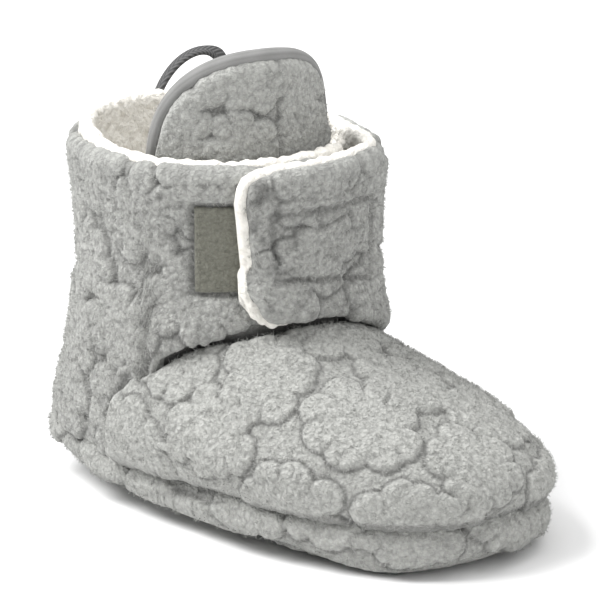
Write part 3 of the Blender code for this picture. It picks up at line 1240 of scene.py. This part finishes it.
def joined_object(name: str, points: Array, faces: Any, relief: Array) -> bpy.types.Object:
    """Make one mesh of many small things.

    Args:
        name: Name of the piece.
        points: Its points.
        faces: Its faces, as rows of point numbers.
        relief: The painted light for each point, from painted shade in the grooves to 1 on top.

    Returns:
        The piece.
    """
    mesh = bpy.data.meshes.new(name)
    mesh.from_pydata(points, [], faces)
    layer = mesh.attributes.new(PAINTED_LIGHT, "FLOAT", "POINT")
    layer.data.foreach_set("value", np.ascontiguousarray(relief, dtype=np.float32))
    made = bpy.data.objects.new(name, mesh)
    bpy.context.scene.collection.objects.link(made)
    clear_selection()
    made.select_set(True)
    bpy.context.view_layer.objects.active = made
    bpy.ops.object.shade_smooth()
    return made


def finish_piece(
    made: bpy.types.Object,
    finish: bpy.types.Material,
    nodes: Sequence[str] = (),
) -> None:
    """Dress a piece and let it ride on the frame.

    Args:
        made: The piece.
        finish: Its material.
        nodes: CAD nodes that it stands for.
    """
    made.data.materials.clear()
    made.data.materials.append(finish)
    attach(made, ROOT_BODY)
    if nodes:
        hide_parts(*nodes)
    count = sum(len(polygon.vertices) - 2 for polygon in made.data.polygons)
    LOG.info("%s: %d triangles", made.name, count)


@dataclass
class Panel:
    """A sewn panel with a wall: a grid rolled round its face, upper edge, back and lower edge."""

    name: str
    face: Face
    columns: int
    rows: int
    thickness: float
    pile: Pile = field(default_factory=PlainCloth)
    moulds: tuple[Mould, ...] = ()
    back_rows: int = 8
    edge_rows: int = 8
    settle: float = 0.0
    back_pile: float = 0.0
    most_inset: float = 0.45
    checks: int = 25
    points: Array = field(init=False)
    normals: Array = field(init=False)
    relief: Array = field(init=False)
    room: Array = field(init=False)

    def _section(self) -> tuple[Array, Array, Array]:
        """Rows of the rolled grid.

        Returns:
            For each row: its share up the face between the edges, its turn round an edge from 0 on
            the face to pi on the back, and the edge that it rolls round, 1 above and -1 below.
        """
        rise = np.linspace(0.0, 1.0, self.rows + 1)
        turn = np.linspace(0.0, np.pi, self.edge_rows + 1)[1:-1]
        back = np.linspace(1.0, 0.0, self.back_rows + 1)
        up = np.concatenate([rise, np.ones_like(turn), back, np.zeros_like(turn), [0.0]])
        roll = np.concatenate([0.0 * rise, turn, np.pi + 0.0 * back, turn[::-1], [0.0]])
        edge = np.concatenate([0.0 * rise, np.ones_like(turn), 0.0 * back, -np.ones_like(turn), [0.0]])
        return up, roll, edge

    def build(self) -> bpy.types.Object:
        """Model the panel.

        Returns:
            The finished mesh.
        """
        up_rows, roll, edge = self._section()
        columns = np.linspace(0.0, 1.0, self.columns + 1)
        lines = self.face(columns[None, :], np.linspace(0.0, 1.0, self.checks)[:, None])
        length = np.sum(np.linalg.norm(np.diff(lines, axis=0), axis=-1), axis=0)
        radius = self.thickness / 2
        inset = np.minimum(self.most_inset, radius / np.maximum(length, 1e-6))
        run = run_lengths(lines[self.checks // 2])
        short = np.clip(1.0 - np.minimum(run, run[-1] - run) / radius, 0.0, 1.0)
        taper = np.sqrt(1.0 - short**2)
        shape = (len(up_rows), len(columns))
        up_rows, roll, edge = up_rows[:, None], roll[:, None], edge[:, None]
        up = inset + (1.0 - 2.0 * inset) * up_rows + inset * edge * np.sin(roll)
        depth = radius - np.cos(roll) * radius * taper
        weight = between(self.back_pile, 1.0, blend(np.cos(roll), -0.7, 0.2)) * taper
        across = np.broadcast_to(columns, shape).ravel()
        normals, rises = face_frame(self.face, across, up.ravel())
        cosine = np.broadcast_to(np.cos(roll), shape).ravel()[:, None]
        sine = np.broadcast_to(edge * np.sin(roll), shape).ravel()[:, None]
        base = self.face(across, up.ravel())
        height, relief = self.pile.heights(self.face, base, self.moulds)
        standing = (height * weight.ravel())[:, None]
        sunk_in = normals * (depth.ravel() + self.settle)[:, None]
        points = base - sunk_in + (normals * cosine + rises * sine) * standing
        made = grid_object(self.name, self.columns, shape[0] - 1)
        shape_grid(made, points, relief)
        front = (self.rows + 1) * (self.columns + 1)
        self.points, self.normals, self.relief = points[:front], normals[:front], relief[:front]
        self.room = cell_sizes(self.points.reshape(self.rows + 1, self.columns + 1, 3)).ravel()
        return made


@dataclass
class RingPad:
    """A flat pad with the foot's plan: a grid rolled from its underside's middle round its edge to its top.

    Of the share up it, flat_share is the underside, as much at its end the top, and edge_share the edge.
    """

    name: str
    foot: FootForm
    columns: int
    low: float
    high: float
    inset: float
    low_round: float
    high_round: float
    pile: Pile
    low_rows: int = 44
    high_rows: int = 8
    edge_rows: int = 26
    moulds: tuple[Mould, ...] = ()
    under_pile: float = 0.8
    settle: float = 0.0
    dish: float = 1.0
    low_dish: float = 0.85
    edge_power: int = 7
    tread: float = 0.0480
    tread_span: float = 0.0150
    tread_square: float = 0.65
    floor: float = 0.0002
    flat_share: float = 0.35
    edge_share: float = 0.3
    level_share: float = 0.3
    pile_full: float = 0.45
    settle_full: float = 0.42
    settle_end: float = 0.58
    seam_share: float = 0.645
    seam_width: float = 0.03
    seam_shade: float = 0.55
    nap_start: float = 0.41
    points: Array = field(init=False)
    normals: Array = field(init=False)
    relief: Array = field(init=False)
    room: Array = field(init=False)

    def face(self, across: Array, up: Array) -> Array:
        """Skin of the pad.

        Args:
            across: Shares round the pad from its heel.
            up: Shares from the middle of its underside to the middle of its top.

        Returns:
            The points.
        """
        across, up = np.broadcast_arrays(across, up)
        under = np.clip(up / self.flat_share, 0.0, 1.0)
        over = np.clip((1.0 - up) / self.flat_share, 0.0, 1.0)
        edge = np.clip((up - self.flat_share) / self.edge_share, 0.0, 1.0)
        turn = np.radians(90.0) * (2.0 * edge - 1.0)
        rim_x = self.foot.plan(across * 360.0 - 180.0, self.inset)[0]
        flat = np.exp(-(((rim_x - self.tread) / self.tread_span) ** 2))
        low_round = self.low_round * (1.0 - self.tread_square * flat)
        sink = np.where(turn < 0.0, low_round, self.high_round) * (1.0 - np.cos(turn))
        x, y = self.foot.plan(across * 360.0 - 180.0, self.inset + sink)
        share = np.minimum(under, over)
        z = (self.low + self.high) / 2 + (self.high - self.low) / 2 * np.sin(turn)
        low_dish = self.low_dish * (1.0 - flat)
        dish = between(low_dish, self.dish, (np.sin(turn) + 1.0) / 2)
        z = z + dish * self.foot.lift(x) * share**self.edge_power
        return joined(x * share, y * share, z)

    def build(self) -> bpy.types.Object:
        """Model the pad.

        Returns:
            The finished mesh.
        """
        edge_start = self.flat_share
        edge_end = 1.0 - self.flat_share
        under = np.linspace(0.0, edge_start, self.low_rows + 1)
        rim = np.linspace(edge_start, edge_end, self.edge_rows + 1)[1:-1]
        over = np.linspace(edge_end, 1.0, self.high_rows + 1)
        rows = np.concatenate([under, rim, over])
        columns = np.linspace(0.0, 1.0, self.columns + 1)
        across = np.broadcast_to(columns, (len(rows), len(columns))).ravel()
        up = np.broadcast_to(rows[:, None], (len(rows), len(columns))).ravel()
        base = self.face(across, up)
        normals = face_frame(self.face, across, np.clip(up, 0.004, 0.996))[0]
        normals[up < self.level_share] = -UPWARD
        normals[up > 1.0 - self.level_share] = UPWARD
        height, relief = self.pile.heights(self.face, base, self.moulds)
        # Painted shade along the seam groove between the sole and the upper.
        seam_shade = self.seam_shade * np.exp(-(((up - self.seam_share) / self.seam_width) ** 2))
        relief = relief * (1.0 - seam_shade)
        under_weight = between(self.under_pile, 1.0, blend(up, edge_start, self.pile_full))
        weight = np.where(up < 0.5, under_weight, 1.0)
        settle = self.settle * blend(up, edge_start, self.settle_full)
        settle = settle * (1.0 - blend(up, self.settle_end, edge_end))
        points = base + normals * (height * weight - settle)[:, None]
        points[:, 2] = np.maximum(points[:, 2], self.floor)
        seam = points.reshape(len(rows), len(columns), 3)
        seam[:, -1] = seam[:, 0]
        seam[0] = seam[0].mean(axis=0)
        seam[-1] = seam[-1].mean(axis=0)
        made = grid_object(self.name, self.columns, len(rows) - 1)
        shape_grid(made, seam.reshape(-1, 3), relief)
        self.points, self.normals, self.relief = seam.reshape(-1, 3), normals, relief
        napped = (up > self.nap_start) & (up < edge_end)
        self.room = cell_sizes(seam).ravel() * np.where(napped, 1.0, 0.0)
        return made


@dataclass(frozen=True)
class Nap:
    """Loose curled ends of yarn that stand out of a pile, joined in one mesh."""

    seed: int
    count: int
    length: float = 0.00085
    width: float = 0.00015
    lean: float = 1.5
    sides: int = 3
    groove_odds: float = 0.25
    scatter: float = 0.00018
    length_low: float = 0.6
    length_spread: float = 0.7
    lean_low: float = 0.4
    lean_spread: float = 0.9
    middle_rise: float = 0.55
    middle_lean: float = 0.35
    middle_width: float = 0.4
    tip_rise: float = 0.18
    tip_lean: float = 0.55
    sway: float = 0.35
    rooting: float = 0.0002
    floor: float = 0.0003
    tip_light: float = 0.3

    def grow(self, name: str, panel: Union[Panel, RingPad]) -> bpy.types.Object:
        """Set curled ends over a panel's face.

        Args:
            name: Name of the piece.
            panel: Panel that has been built.

        Returns:
            The joined mesh.
        """
        chance = np.random.default_rng(self.seed)
        odds = panel.room * between(self.groove_odds, 1.0, panel.relief)
        picked = chance.choice(len(odds), self.count, p=odds / odds.sum())
        normals = panel.normals[picked]
        jitter = unit(chance.normal(size=(self.count, 3)))
        aside = unit(jitter - normals * np.sum(jitter * normals, axis=-1, keepdims=True))
        other = np.cross(normals, aside)
        roots = panel.points[picked] + aside * chance.normal(0.0, self.scatter, (self.count, 1))
        length = self.length * (self.length_low + self.length_spread * chance.random((self.count, 1)))
        lean = self.lean * (self.lean_low + self.lean_spread * chance.random((self.count, 1)))
        middle = roots + (normals * self.middle_rise + aside * lean * self.middle_lean) * length
        sway = other * chance.normal(0.0, self.sway, (self.count, 1))
        tips = middle + (normals * self.tip_rise + aside * lean * self.tip_lean + sway) * length
        turns = np.arange(self.sides) * 2.0 * np.pi / self.sides
        spread = swung(turns[None, :, None], aside[:, None, :], other[:, None, :])
        base_ring = roots[:, None, :] - normals[:, None, :] * self.rooting + spread * self.width / 2
        middle_ring = middle[:, None, :] + spread * self.width * self.middle_width
        points = np.concatenate([base_ring, middle_ring, tips[:, None, :]], axis=1)
        points[..., 2] = np.maximum(points[..., 2], self.floor)
        faces: list[Array] = []
        start = (np.arange(self.count) * (2 * self.sides + 1))[:, None]
        for side in range(self.sides):
            after = (side + 1) % self.sides
            faces.append(start + np.array([[side, after, self.sides + after]]))
            faces.append(start + np.array([[side, self.sides + after, self.sides + side]]))
            faces.append(start + np.array([[self.sides + side, self.sides + after, 2 * self.sides]]))
        # Painted light of each end: that of the pile at its root, with painted light added towards its tip.
        shade = np.repeat(panel.relief[picked], 2 * self.sides + 1).reshape(self.count, -1)
        shade[:, self.sides :] += self.tip_light
        shade = np.clip(shade, 0.0, 1.1).ravel()
        return joined_object(name, points.reshape(-1, 3), np.concatenate(faces), shade)


@dataclass(frozen=True)
class Stitching:
    """A row of short sewn threads along a line on a face, joined in one mesh."""

    face: Face
    line: Line
    pitch: float = 0.0016
    share: float = 0.72
    radius: float = 0.00020
    sides: int = 6
    rings: int = 5
    checks: int = 60
    end_reach: float = 0.97

    def build(self, name: str) -> bpy.types.Object:
        """Lay the threads.

        Args:
            name: Name of the piece.

        Returns:
            The joined mesh.
        """
        stops = np.array(self.line)
        fine = np.linspace(0.0, len(stops) - 1.0, self.checks * len(stops))
        route = np.stack([np.interp(fine, np.arange(len(stops)), stops[:, axis]) for axis in (0, 1)], axis=-1)
        path = self.face(route[:, 0], route[:, 1])
        normals = face_frame(self.face, route[:, 0], route[:, 1])[0]
        run = run_lengths(path)
        count = max(2, int(run[-1] / self.pitch))
        step = run[-1] / count
        spots = (np.arange(count)[:, None] + 0.5 + self.share * np.linspace(-0.5, 0.5, self.rings)) * step
        middle = np.stack([np.interp(spots, run, path[:, axis]) for axis in range(3)], axis=-1)
        upward = unit(np.stack([np.interp(spots, run, normals[:, axis]) for axis in range(3)], axis=-1))
        ahead = unit(np.gradient(middle, axis=1))
        aside = np.cross(ahead, upward)
        swell = np.sqrt(1.0 - np.linspace(-self.end_reach, self.end_reach, self.rings) ** 2)[None, :, None]
        middle = middle + upward * self.radius * (1.6 * swell - 1.0)
        turns = np.arange(self.sides) * 2.0 * np.pi / self.sides
        ring = swung(turns[:, None], aside[..., None, :], upward[..., None, :])
        points = middle[..., None, :] + ring * (self.radius * (0.25 + 0.75 * swell))[..., None]
        cell = np.arange(self.rings * self.sides).reshape(self.rings, self.sides)
        after = np.roll(cell, -1, axis=1)
        quads = np.stack([cell[:-1], after[:-1], after[1:], cell[1:]], axis=-1).reshape(-1, 4)
        thread = [*quads.tolist(), cell[0, ::-1].tolist(), cell[-1].tolist()]
        starts = range(0, count * cell.size, cell.size)
        faces = [[corner + start for corner in corners] for start in starts for corners in thread]
        return joined_object(name, points.reshape(-1, 3), faces, np.ones(count * cell.size))


@dataclass
class Tube:
    """A soft tube of oval section along a path, closed at both ends."""

    name: str
    path: Array
    wide: Array
    tall: Array
    ring: int = 20

    def build(self) -> bpy.types.Object:
        """Model the tube.

        Returns:
            The finished mesh.
        """
        count = len(self.path)
        swell = np.ones(count)
        swell[0] = swell[-1] = 0.0
        turns = np.linspace(0.0, 2.0 * np.pi, self.ring + 1)
        ring = swung(turns[:, None, None], self.wide, self.tall)
        points = self.path + ring * swell[:, None]
        made = grid_object(self.name, count - 1, self.ring)
        shape_grid(made, points.reshape(-1, 3), np.ones(points.shape[0] * count))
        return made


@dataclass(frozen=True)
class Fleece:
    """Grey pile cloth outside: vamp, wrap, sole and tongue, each with its nap."""

    wrap: WrapForm
    vamp: VampForm
    tongue: TongueForm
    foot: FootForm
    sewn_on: tuple[Face, ...]
    grips: Array
    vamp_skin: float = 0.0040
    wrap_skin: float = 0.0024
    tongue_skin: float = 0.0018
    settle: float = 0.0009
    tab_line: Line = ((0.020, 0.26), (0.020, 0.74), (0.118, 0.76), (0.118, 0.24), (0.020, 0.26))
    corner_share: float = 0.03
    slit_share: float = 0.06
    slit_drop: float = 0.0014
    seam_share: float = 0.02

    def _vamp_moulds(self) -> tuple[Mould, ...]:
        """Creases in the vamp: the slit under the cuff's edge, with painted shadow, and the seam over the
        sole, with painted shade.

        Returns:
            The creases in the order in which they are pressed in.
        """
        face = self.vamp.face
        under_cuff = self.vamp.cuff_line(self.slit_share, 1.0 - self.slit_share, self.slit_drop)
        over_sole = ((0.0, self.seam_share), (1.0, self.seam_share))
        # Painted shadow in the slit under the cuff's free edge, and painted shade along the seam over the
        # sole.
        slit = Crease(face, under_cuff, depth=0.0028, width=0.0013, shade=1.0, samples=4)
        seam = Crease(face, over_sole, depth=0.0005, width=0.0012, shade=0.6, samples=200)
        return slit, seam

    def _wrap_moulds(self) -> tuple[Mould, ...]:
        """Creases in the wrap along the tab's edge and round the vamp's rear ends, and its sewn-on pieces,
        each with painted shade.

        Returns:
            The moulds in the order in which they are pressed in.
        """
        face = self.vamp.face
        # Painted shade along the sewn line on the tab.
        moulds: list[Mould] = [Crease(self.wrap.face, self.tab_line, depth=0.0010, width=0.0008, shade=0.4)]
        for end, inner in ((0.0, self.corner_share), (1.0, 1.0 - self.corner_share)):
            rear = ((end, 0.0), (end, 1.0))
            corner = ((end, 1.0), (inner, 1.0))
            # Painted shade on the wrap just past the vamp's rear end and its top corner.
            moulds.append(Crease(face, rear, depth=0.0006, width=0.0008, shade=0.65, reach=0.0021))
            moulds.append(Crease(face, corner, depth=0.0006, width=0.0008, shade=0.6, reach=0.0017))
        # Pile held flat under the patch and the label, with painted shade round them.
        moulds += [Press.under(sewn) for sewn in self.sewn_on]
        return tuple(moulds)

    def build(self, finish: bpy.types.Material) -> None:
        """Model and dress the fleece pieces.

        Args:
            finish: Material of the fleece.
        """
        panels = (
            Panel(
                name="vamp_fleece",
                face=self.vamp.face,
                columns=420,
                rows=150,
                thickness=self.vamp_skin,
                pile=CloudPile(seed=11, pitch=0.0178, rise=0.0014, groove_light=0.42, curl_shade=0.3),
                moulds=self._vamp_moulds(),
                settle=self.settle,
            ),
            Panel(
                name="wrap_fleece",
                face=self.wrap.face,
                columns=420,
                rows=112,
                thickness=self.wrap_skin,
                pile=CloudPile(seed=23, nub=0.0014, curl_shade=0.85),
                moulds=self._wrap_moulds(),
                settle=self.settle,
            ),
            Panel(
                name="tongue_fleece",
                face=self.tongue.face,
                columns=110,
                rows=120,
                thickness=self.tongue_skin,
                pile=CloudPile(seed=37),
                settle=self.settle / 2,
            ),
        )
        naps = (Nap(seed=5, count=12000), Nap(seed=6, count=13000), Nap(seed=7, count=3500))
        nodes = ((), ("upper",), ("tongue",))
        for panel, nap, names in zip(panels, naps, nodes):
            made = panel.build()
            finish_piece(made, finish, names)
            finish_piece(nap.grow(panel.name.replace("fleece", "nap"), panel), finish)
        self._build_sole(finish)

    def _build_sole(self, finish: bpy.types.Material) -> None:
        """Model and dress the padded sole.

        Args:
            finish: Material of the fleece.
        """
        foot = self.foot
        pad = RingPad(
            name="sole_fleece",
            foot=foot,
            columns=440,
            low=foot.bottom + 0.0005,
            high=foot.bottom + foot.thickness,
            inset=0.0,
            low_round=0.0062,
            high_round=0.0030,
            pile=CloudPile(seed=41),
            # Pile held flat round the grips, with painted shade round them.
            moulds=(Press(self.grips, margin=0.0044, level=0.0002, slope=0.0010),),
            settle=self.settle,
        )
        made = pad.build()
        finish_piece(made, finish, ("sole",))
        finish_piece(Nap(seed=8, count=4000).grow("sole_nap", pad), finish)


@dataclass(frozen=True)
class Lining:
    """White pile inside: the wrap's and vamp's lining, the back of the tongue and the footbed."""

    wrap: WrapForm
    vamp: VampForm
    tongue: TongueForm
    foot: FootForm
    wrap_wall: float = 0.0022
    vamp_wall: float = 0.0012
    vamp_margin: float = 0.03
    vamp_depth: float = 0.0038
    tongue_wall: float = 0.0015
    tongue_depth: float = 0.0019

    def build(self, finish: bpy.types.Material) -> None:
        """Model and dress the lining pieces.

        Args:
            finish: Material of the white pile.
        """
        teddy = TeddyPile(seed=51)
        panels = (
            Panel(
                name="wrap_lining",
                face=self.wrap.face,
                columns=400,
                rows=40,
                thickness=self.wrap_wall,
                pile=teddy,
                back_rows=80,
                edge_rows=12,
                back_pile=1.0,
            ),
            Panel(
                name="vamp_lining",
                face=sunk(narrowed(self.vamp.face, self.vamp_margin), self.vamp_depth),
                columns=160,
                rows=60,
                thickness=self.vamp_wall,
            ),
            Panel(
                name="tongue_lining",
                face=sunk(self.tongue.face, self.tongue_depth),
                columns=90,
                rows=40,
                thickness=self.tongue_wall,
                pile=teddy,
                back_rows=70,
                back_pile=1.0,
            ),
        )
        for panel in panels:
            finish_piece(panel.build(), finish)
        foot = self.foot
        bed = RingPad(
            name="insole_pile",
            foot=foot,
            columns=220,
            low=foot.seam,
            high=foot.seam + 0.003,
            inset=0.0044,
            low_round=0.001,
            high_round=0.001,
            pile=TeddyPile(seed=57),
            low_rows=4,
            high_rows=70,
            edge_rows=6,
            under_pile=0.0,
            dish=0.5,
        )
        made = bed.build()
        finish_piece(made, finish, ("insole",))


@dataclass(frozen=True)
class Trim:
    """Tapes, patch, label and grips."""

    ankle: AnkleForm
    tongue: TongueForm
    tape_reach: float = 0.995
    tape_points: int = 161
    tape_leg_points: int = 24
    tape_flat: float = 1.15
    probe: float = 0.001
    patch_start: float = -55.0
    patch_end: float = -19.0
    patch_height: float = 0.0190
    patch_middle: float = 0.0630
    patch_out: float = 0.0008
    patch_wall: float = 0.0016
    patch_border: Line = ((0.06, 0.07), (0.06, 0.93), (0.94, 0.93), (0.94, 0.07), (0.06, 0.07))
    back_turn: float = 146.0
    label_width: float = 0.0250
    label_height: float = 0.0090
    label_middle: float = 0.0660
    label_out: float = 0.0008
    label_wall: float = 0.0022
    label_round: float = 0.98
    loop_span: float = 0.0165
    loop_rise: float = 0.0130
    loop_lean: float = 0.0020
    loop_skew: float = 0.0045
    loop_power: float = 0.8
    loop_turn: float = 8.0
    loop_twist: float = 50.0
    twist_middle: float = 0.28
    twist_span: float = 0.14
    loop_width: float = 0.0036
    loop_wall: float = 0.0011
    loop_margin: float = 0.0005
    grip_radius: float = 0.0056
    grip_height: float = 0.0034
    grip_round: float = 0.0006
    grip_smooth: float = 40.0

    def build_tape(self, finish: bpy.types.Material) -> None:
        """Tape bound over the tongue's top edge.

        Args:
            finish: Material of the tape.
        """
        share = self.tape_reach * np.sin(np.pi * np.linspace(-0.5, 0.5, self.tape_points))
        height = self.tongue.arch(share)
        legs = np.linspace(0.0, 1.0, self.tape_leg_points, endpoint=False)
        for end in (0, -1):
            side = np.full_like(legs, share[end])
            low = self.tongue.vamp.throat_height(self.tongue.middle + side * self.tongue.turn)
            leg = between(low, height[end], legs)
            share = np.concatenate([side, share] if end == 0 else [share, side])
            height = np.concatenate([leg, height] if end == 0 else [height, leg[::-1]])
        path = self.tongue.point(share, height, self.tongue.wall / 2)
        ahead = unit(np.gradient(path, axis=0))
        inward = unit(self.tongue.point(share, height, self.tongue.wall / 2 + self.probe) - path)
        radius = self.tongue.tape_radius
        wide = inward * radius * self.tape_flat
        made = Tube("tongue_tape", path, wide, unit(np.cross(ahead, inward)) * radius).build()
        finish_piece(made, finish, ("tongue_binding",))

    def patch_face(self, across: Array, up: Array) -> Array:
        """Face of the hook patch on the inner wing."""
        degrees = between(self.patch_start, self.patch_end, across)
        return self.ankle.point(degrees, self.patch_middle + self.patch_height * (up - 0.5), self.patch_out)

    def label_face(self, across: Array, up: Array) -> Array:
        """Face of the pill-shaped label on the back.

        Args:
            across: Shares along the label.
            up: Shares up it.

        Returns:
            The points.
        """
        turn = math.degrees(self.label_width / 2 / self.ankle.half_width)
        straight = 1.0 - self.label_height / self.label_width
        share = 2.0 * across - 1.0
        past = np.maximum(0.0, np.abs(share) - straight) / (1.0 - straight)
        half = self.label_height / 2 * np.sqrt(np.maximum(0.0, 1.0 - (self.label_round * past) ** 2))
        height = self.label_middle + half * (2.0 * up - 1.0)
        return self.ankle.point(self.back_turn + share * turn, height, self.label_out)

    def loop_face(self, across: Array, up: Array) -> Array:
        """Face of the loop, an arch over the rim with a twist in its tape.

        Args:
            across: Shares along the tape.
            up: Shares across the tape.

        Returns:
            The points.
        """
        angle = math.radians(self.back_turn)
        outward = np.array((math.cos(angle), math.sin(angle), 0.0))
        along = np.array((-outward[1], outward[0], 0.0))
        foot = self.ankle.point(np.array(self.back_turn), np.array(self.ankle.collar), -self.ankle.wall / 2)
        sweep = np.pi * np.clip(across, self.loop_margin, 1.0 - self.loop_margin)
        share = np.sin(sweep) ** self.loop_power
        side = -self.loop_span / 2 * np.cos(sweep) - self.loop_skew * share
        turned = self.loop_twist * np.exp(-(((across - self.twist_middle) / self.twist_span) ** 2))
        radial = swung(sweep[..., None], -along, UPWARD)
        wide = swung(np.radians(self.loop_turn + turned)[..., None], outward, radial)
        middle = foot + along * side[..., None] + UPWARD * (self.loop_rise * share)[..., None]
        middle = middle + outward * (self.loop_lean * share)[..., None]
        return middle + wide * (self.loop_width * (0.5 - up))[..., None]

    def build_patch(self, finish: bpy.types.Material) -> None:
        """Hook patch sewn to the inner wing, with its stitches.

        Args:
            finish: Material of the hook cloth.
        """
        patch = Panel(
            name="hook_cloth",
            face=self.patch_face,
            columns=60,
            rows=60,
            thickness=self.patch_wall,
            pile=TeddyPile(seed=61, nub=0.0007, nub_rise=0.00022),
        )
        finish_piece(patch.build(), finish, ("hook_patch",))
        stitches = Stitching(self.patch_face, self.patch_border)
        finish_piece(stitches.build("patch_stitches"), finish)

    def build_label(self, finish: bpy.types.Material) -> None:
        """Pill-shaped label on the back of the heel."""
        label = Panel("label_patch", self.label_face, columns=90, rows=24, thickness=self.label_wall)
        finish_piece(label.build(), finish, ("heel_label",))

    def build_loop(self, finish: bpy.types.Material) -> None:
        """Loop of woven tape on the collar's back rim."""
        loop = Panel("woven_loop", self.loop_face, columns=120, rows=12, thickness=self.loop_wall)
        finish_piece(loop.build(), finish, ("pull_loop",))

    def build_grips(self, finish: bpy.types.Material, nodes: Sequence[str]) -> None:
        """Hexagonal grips with soft edges, each in the place of its CAD node.

        Args:
            finish: Material of the grips.
            nodes: Names of the CAD nodes.
        """
        for node in nodes:
            low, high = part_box(node)
            middle = (low + high) / 2
            clear_selection()
            bpy.ops.mesh.primitive_cylinder_add(
                vertices=6,
                radius=self.grip_radius,
                depth=self.grip_height,
                location=(middle.x, middle.y, low.z + self.grip_height / 2),
            )
            made = bpy.context.object
            made.name = f"hex_{node}"
            bpy.ops.object.transform_apply(location=True, rotation=True, scale=True)
            bpy.ops.object.mode_set(mode="EDIT")
            bpy.ops.mesh.select_all(action="SELECT")
            bpy.ops.mesh.bevel(offset=self.grip_round, segments=3, affect="EDGES")
            bpy.ops.object.mode_set(mode="OBJECT")
            bpy.ops.object.shade_smooth_by_angle(angle=math.radians(self.grip_smooth))
            finish_piece(made, finish, (node,))


@dataclass(frozen=True)
class Studio:
    """Pale floor, soft light and the camera at the photograph's angle."""

    azimuth: float = 44.0
    elevation: float = 16.5
    distance: float = 0.9
    lens: float = 243.0
    aim: tuple[float, float, float] = (0.0004, 0.0004, 0.0473)
    room_light: float = 0.33

    def build(self) -> None:
        """Make the floor, the lights and the camera."""
        clear_selection()
        bpy.ops.mesh.primitive_plane_add(size=6.0, location=(0.0, 0.0, -0.0001))
        floor = bpy.context.object
        floor.name = "floor"
        paint = Paint("pale_floor", {"Roughness": 0.9, "Base Color": (0.90, 0.90, 0.90, 1.0)})
        floor.data.materials.append(paint.material)
        world = bpy.data.worlds.new("soft_room")
        world.use_nodes = True
        background = world.node_tree.nodes["Background"]
        background.inputs["Color"].default_value = (1.0, 1.0, 1.0, 1.0)
        background.inputs["Strength"].default_value = self.room_light
        bpy.context.scene.world = world
        bpy.context.scene.view_settings.view_transform = "Standard"
        self._light("key", (-0.70, -0.74, 1.34), size=1.0, power=38.0)
        self._light("fill", (1.10, -0.10, 0.80), size=1.0, power=5.5)
        self._light("top", (0.2, 0.2, 1.5), size=1.4, power=12.0)
        self._camera()

    def _light(self, name: str, place: tuple[float, float, float], size: float, power: float) -> None:
        """Add a square soft light that looks at the slipper.

        Args:
            name: Name of the light.
            place: Where it is.
            size: Length of its side.
            power: Its watts.
        """
        data = bpy.data.lights.new(name, "AREA")
        data.size = size
        data.energy = power
        made = bpy.data.objects.new(name, data)
        made.location = place
        made.rotation_mode = "QUATERNION"
        made.rotation_quaternion = (Vector(self.aim) - Vector(place)).to_track_quat("-Z", "Y")
        bpy.context.scene.collection.objects.link(made)

    def _camera(self) -> None:
        """Add the camera."""
        turn, tilt = math.radians(self.azimuth), math.radians(self.elevation)
        back = Vector((math.sin(turn) * math.cos(tilt), -math.cos(turn) * math.cos(tilt), math.sin(tilt)))
        data = bpy.data.cameras.new("photo_camera")
        data.lens = self.lens
        data.sensor_width = 36.0
        data.clip_start, data.clip_end = 0.01, 20.0
        made = bpy.data.objects.new("photo_camera", data)
        made.location = Vector(self.aim) + back * self.distance
        made.rotation_mode = "QUATERNION"
        made.rotation_quaternion = (-back).to_track_quat("-Z", "Y")
        bpy.context.scene.collection.objects.link(made)
        bpy.context.scene.camera = made


# Each pile's top is its own colour; shade_colour is the painted shade its painted light runs down to in
# grooves, creases, slits and gaps.
FLEECE = PileFinish(
    name="grey_fleece_pile",
    top=(0.485, 0.488, 0.465),
    shade_colour=(0.04, 0.04, 0.038),
    nub=0.0009,
    gap_shade_and_mottle=0.44,
    bump=0.8,
)
TEDDY = PileFinish(
    name="white_teddy_pile",
    top=(0.93, 0.908, 0.855),
    shade_colour=(0.78, 0.75, 0.685),
    nub=0.0014,
    gap_shade_and_mottle=0.3,
    bump=0.6,
)
HOOKS = PileFinish(
    name="olive_hook_cloth",
    top=(0.20, 0.20, 0.165),
    shade_colour=(0.085, 0.085, 0.07),
    nub=0.0006,
    gap_shade_and_mottle=0.6,
    bump=0.7,
)
TAPE = KnitFinish(name="grey_knit_tape", light=(0.265, 0.265, 0.26), dark=(0.195, 0.195, 0.19), ribs=9.0)
WEBBING = WovenFinish(
    name="dark_woven_tape",
    light=(0.14, 0.14, 0.14),
    dark=(0.045, 0.045, 0.047),
    picks=46.0,
)
LABEL = MatteFinish(
    name="bare_label",
    light=(0.60, 0.60, 0.53),
    dark=(0.50, 0.50, 0.43),
    grain=0.0006,
    roughness=0.6,
    bump=0.25,
)
RUBBER = MatteFinish(
    name="grip_silicone",
    light=(0.215, 0.23, 0.22),
    dark=(0.17, 0.185, 0.175),
    grain=0.0005,
    roughness=0.45,
    bump=0.2,
)


def main() -> None:
    """Build the slipper's looks and its studio."""
    logging.basicConfig(level=logging.INFO, format="%(name)s: %(message)s")
    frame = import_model()
    grips = sorted(name for name in frame["nodes"] if name.startswith("grip_"))
    foot = FootForm()
    ankle = AnkleForm(foot)
    wrap = WrapForm(ankle, grow=-0.0009)
    vamp = VampForm(ankle)
    tongue = TongueForm(vamp)
    trim = Trim(ankle, tongue)
    middles = np.array([(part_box(name)[0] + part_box(name)[1]) / 2 for name in grips])
    Fleece(wrap, vamp, tongue, foot, (trim.patch_face, trim.label_face), middles).build(FLEECE.build())
    inner_wrap = WrapForm(ankle, grow=0.0014, rise=0.0017, back_rise=0.0024, tuck=0.0010, depth=0.0025)
    Lining(inner_wrap, vamp, TongueForm(vamp, drop=0.003), foot).build(TEDDY.build())
    trim.build_tape(TAPE.build())
    trim.build_patch(HOOKS.build())
    trim.build_label(LABEL.build())
    trim.build_loop(WEBBING.build())
    trim.build_grips(RUBBER.build(), grips)
    Studio().build()


if __name__ == "__main__":
    main()
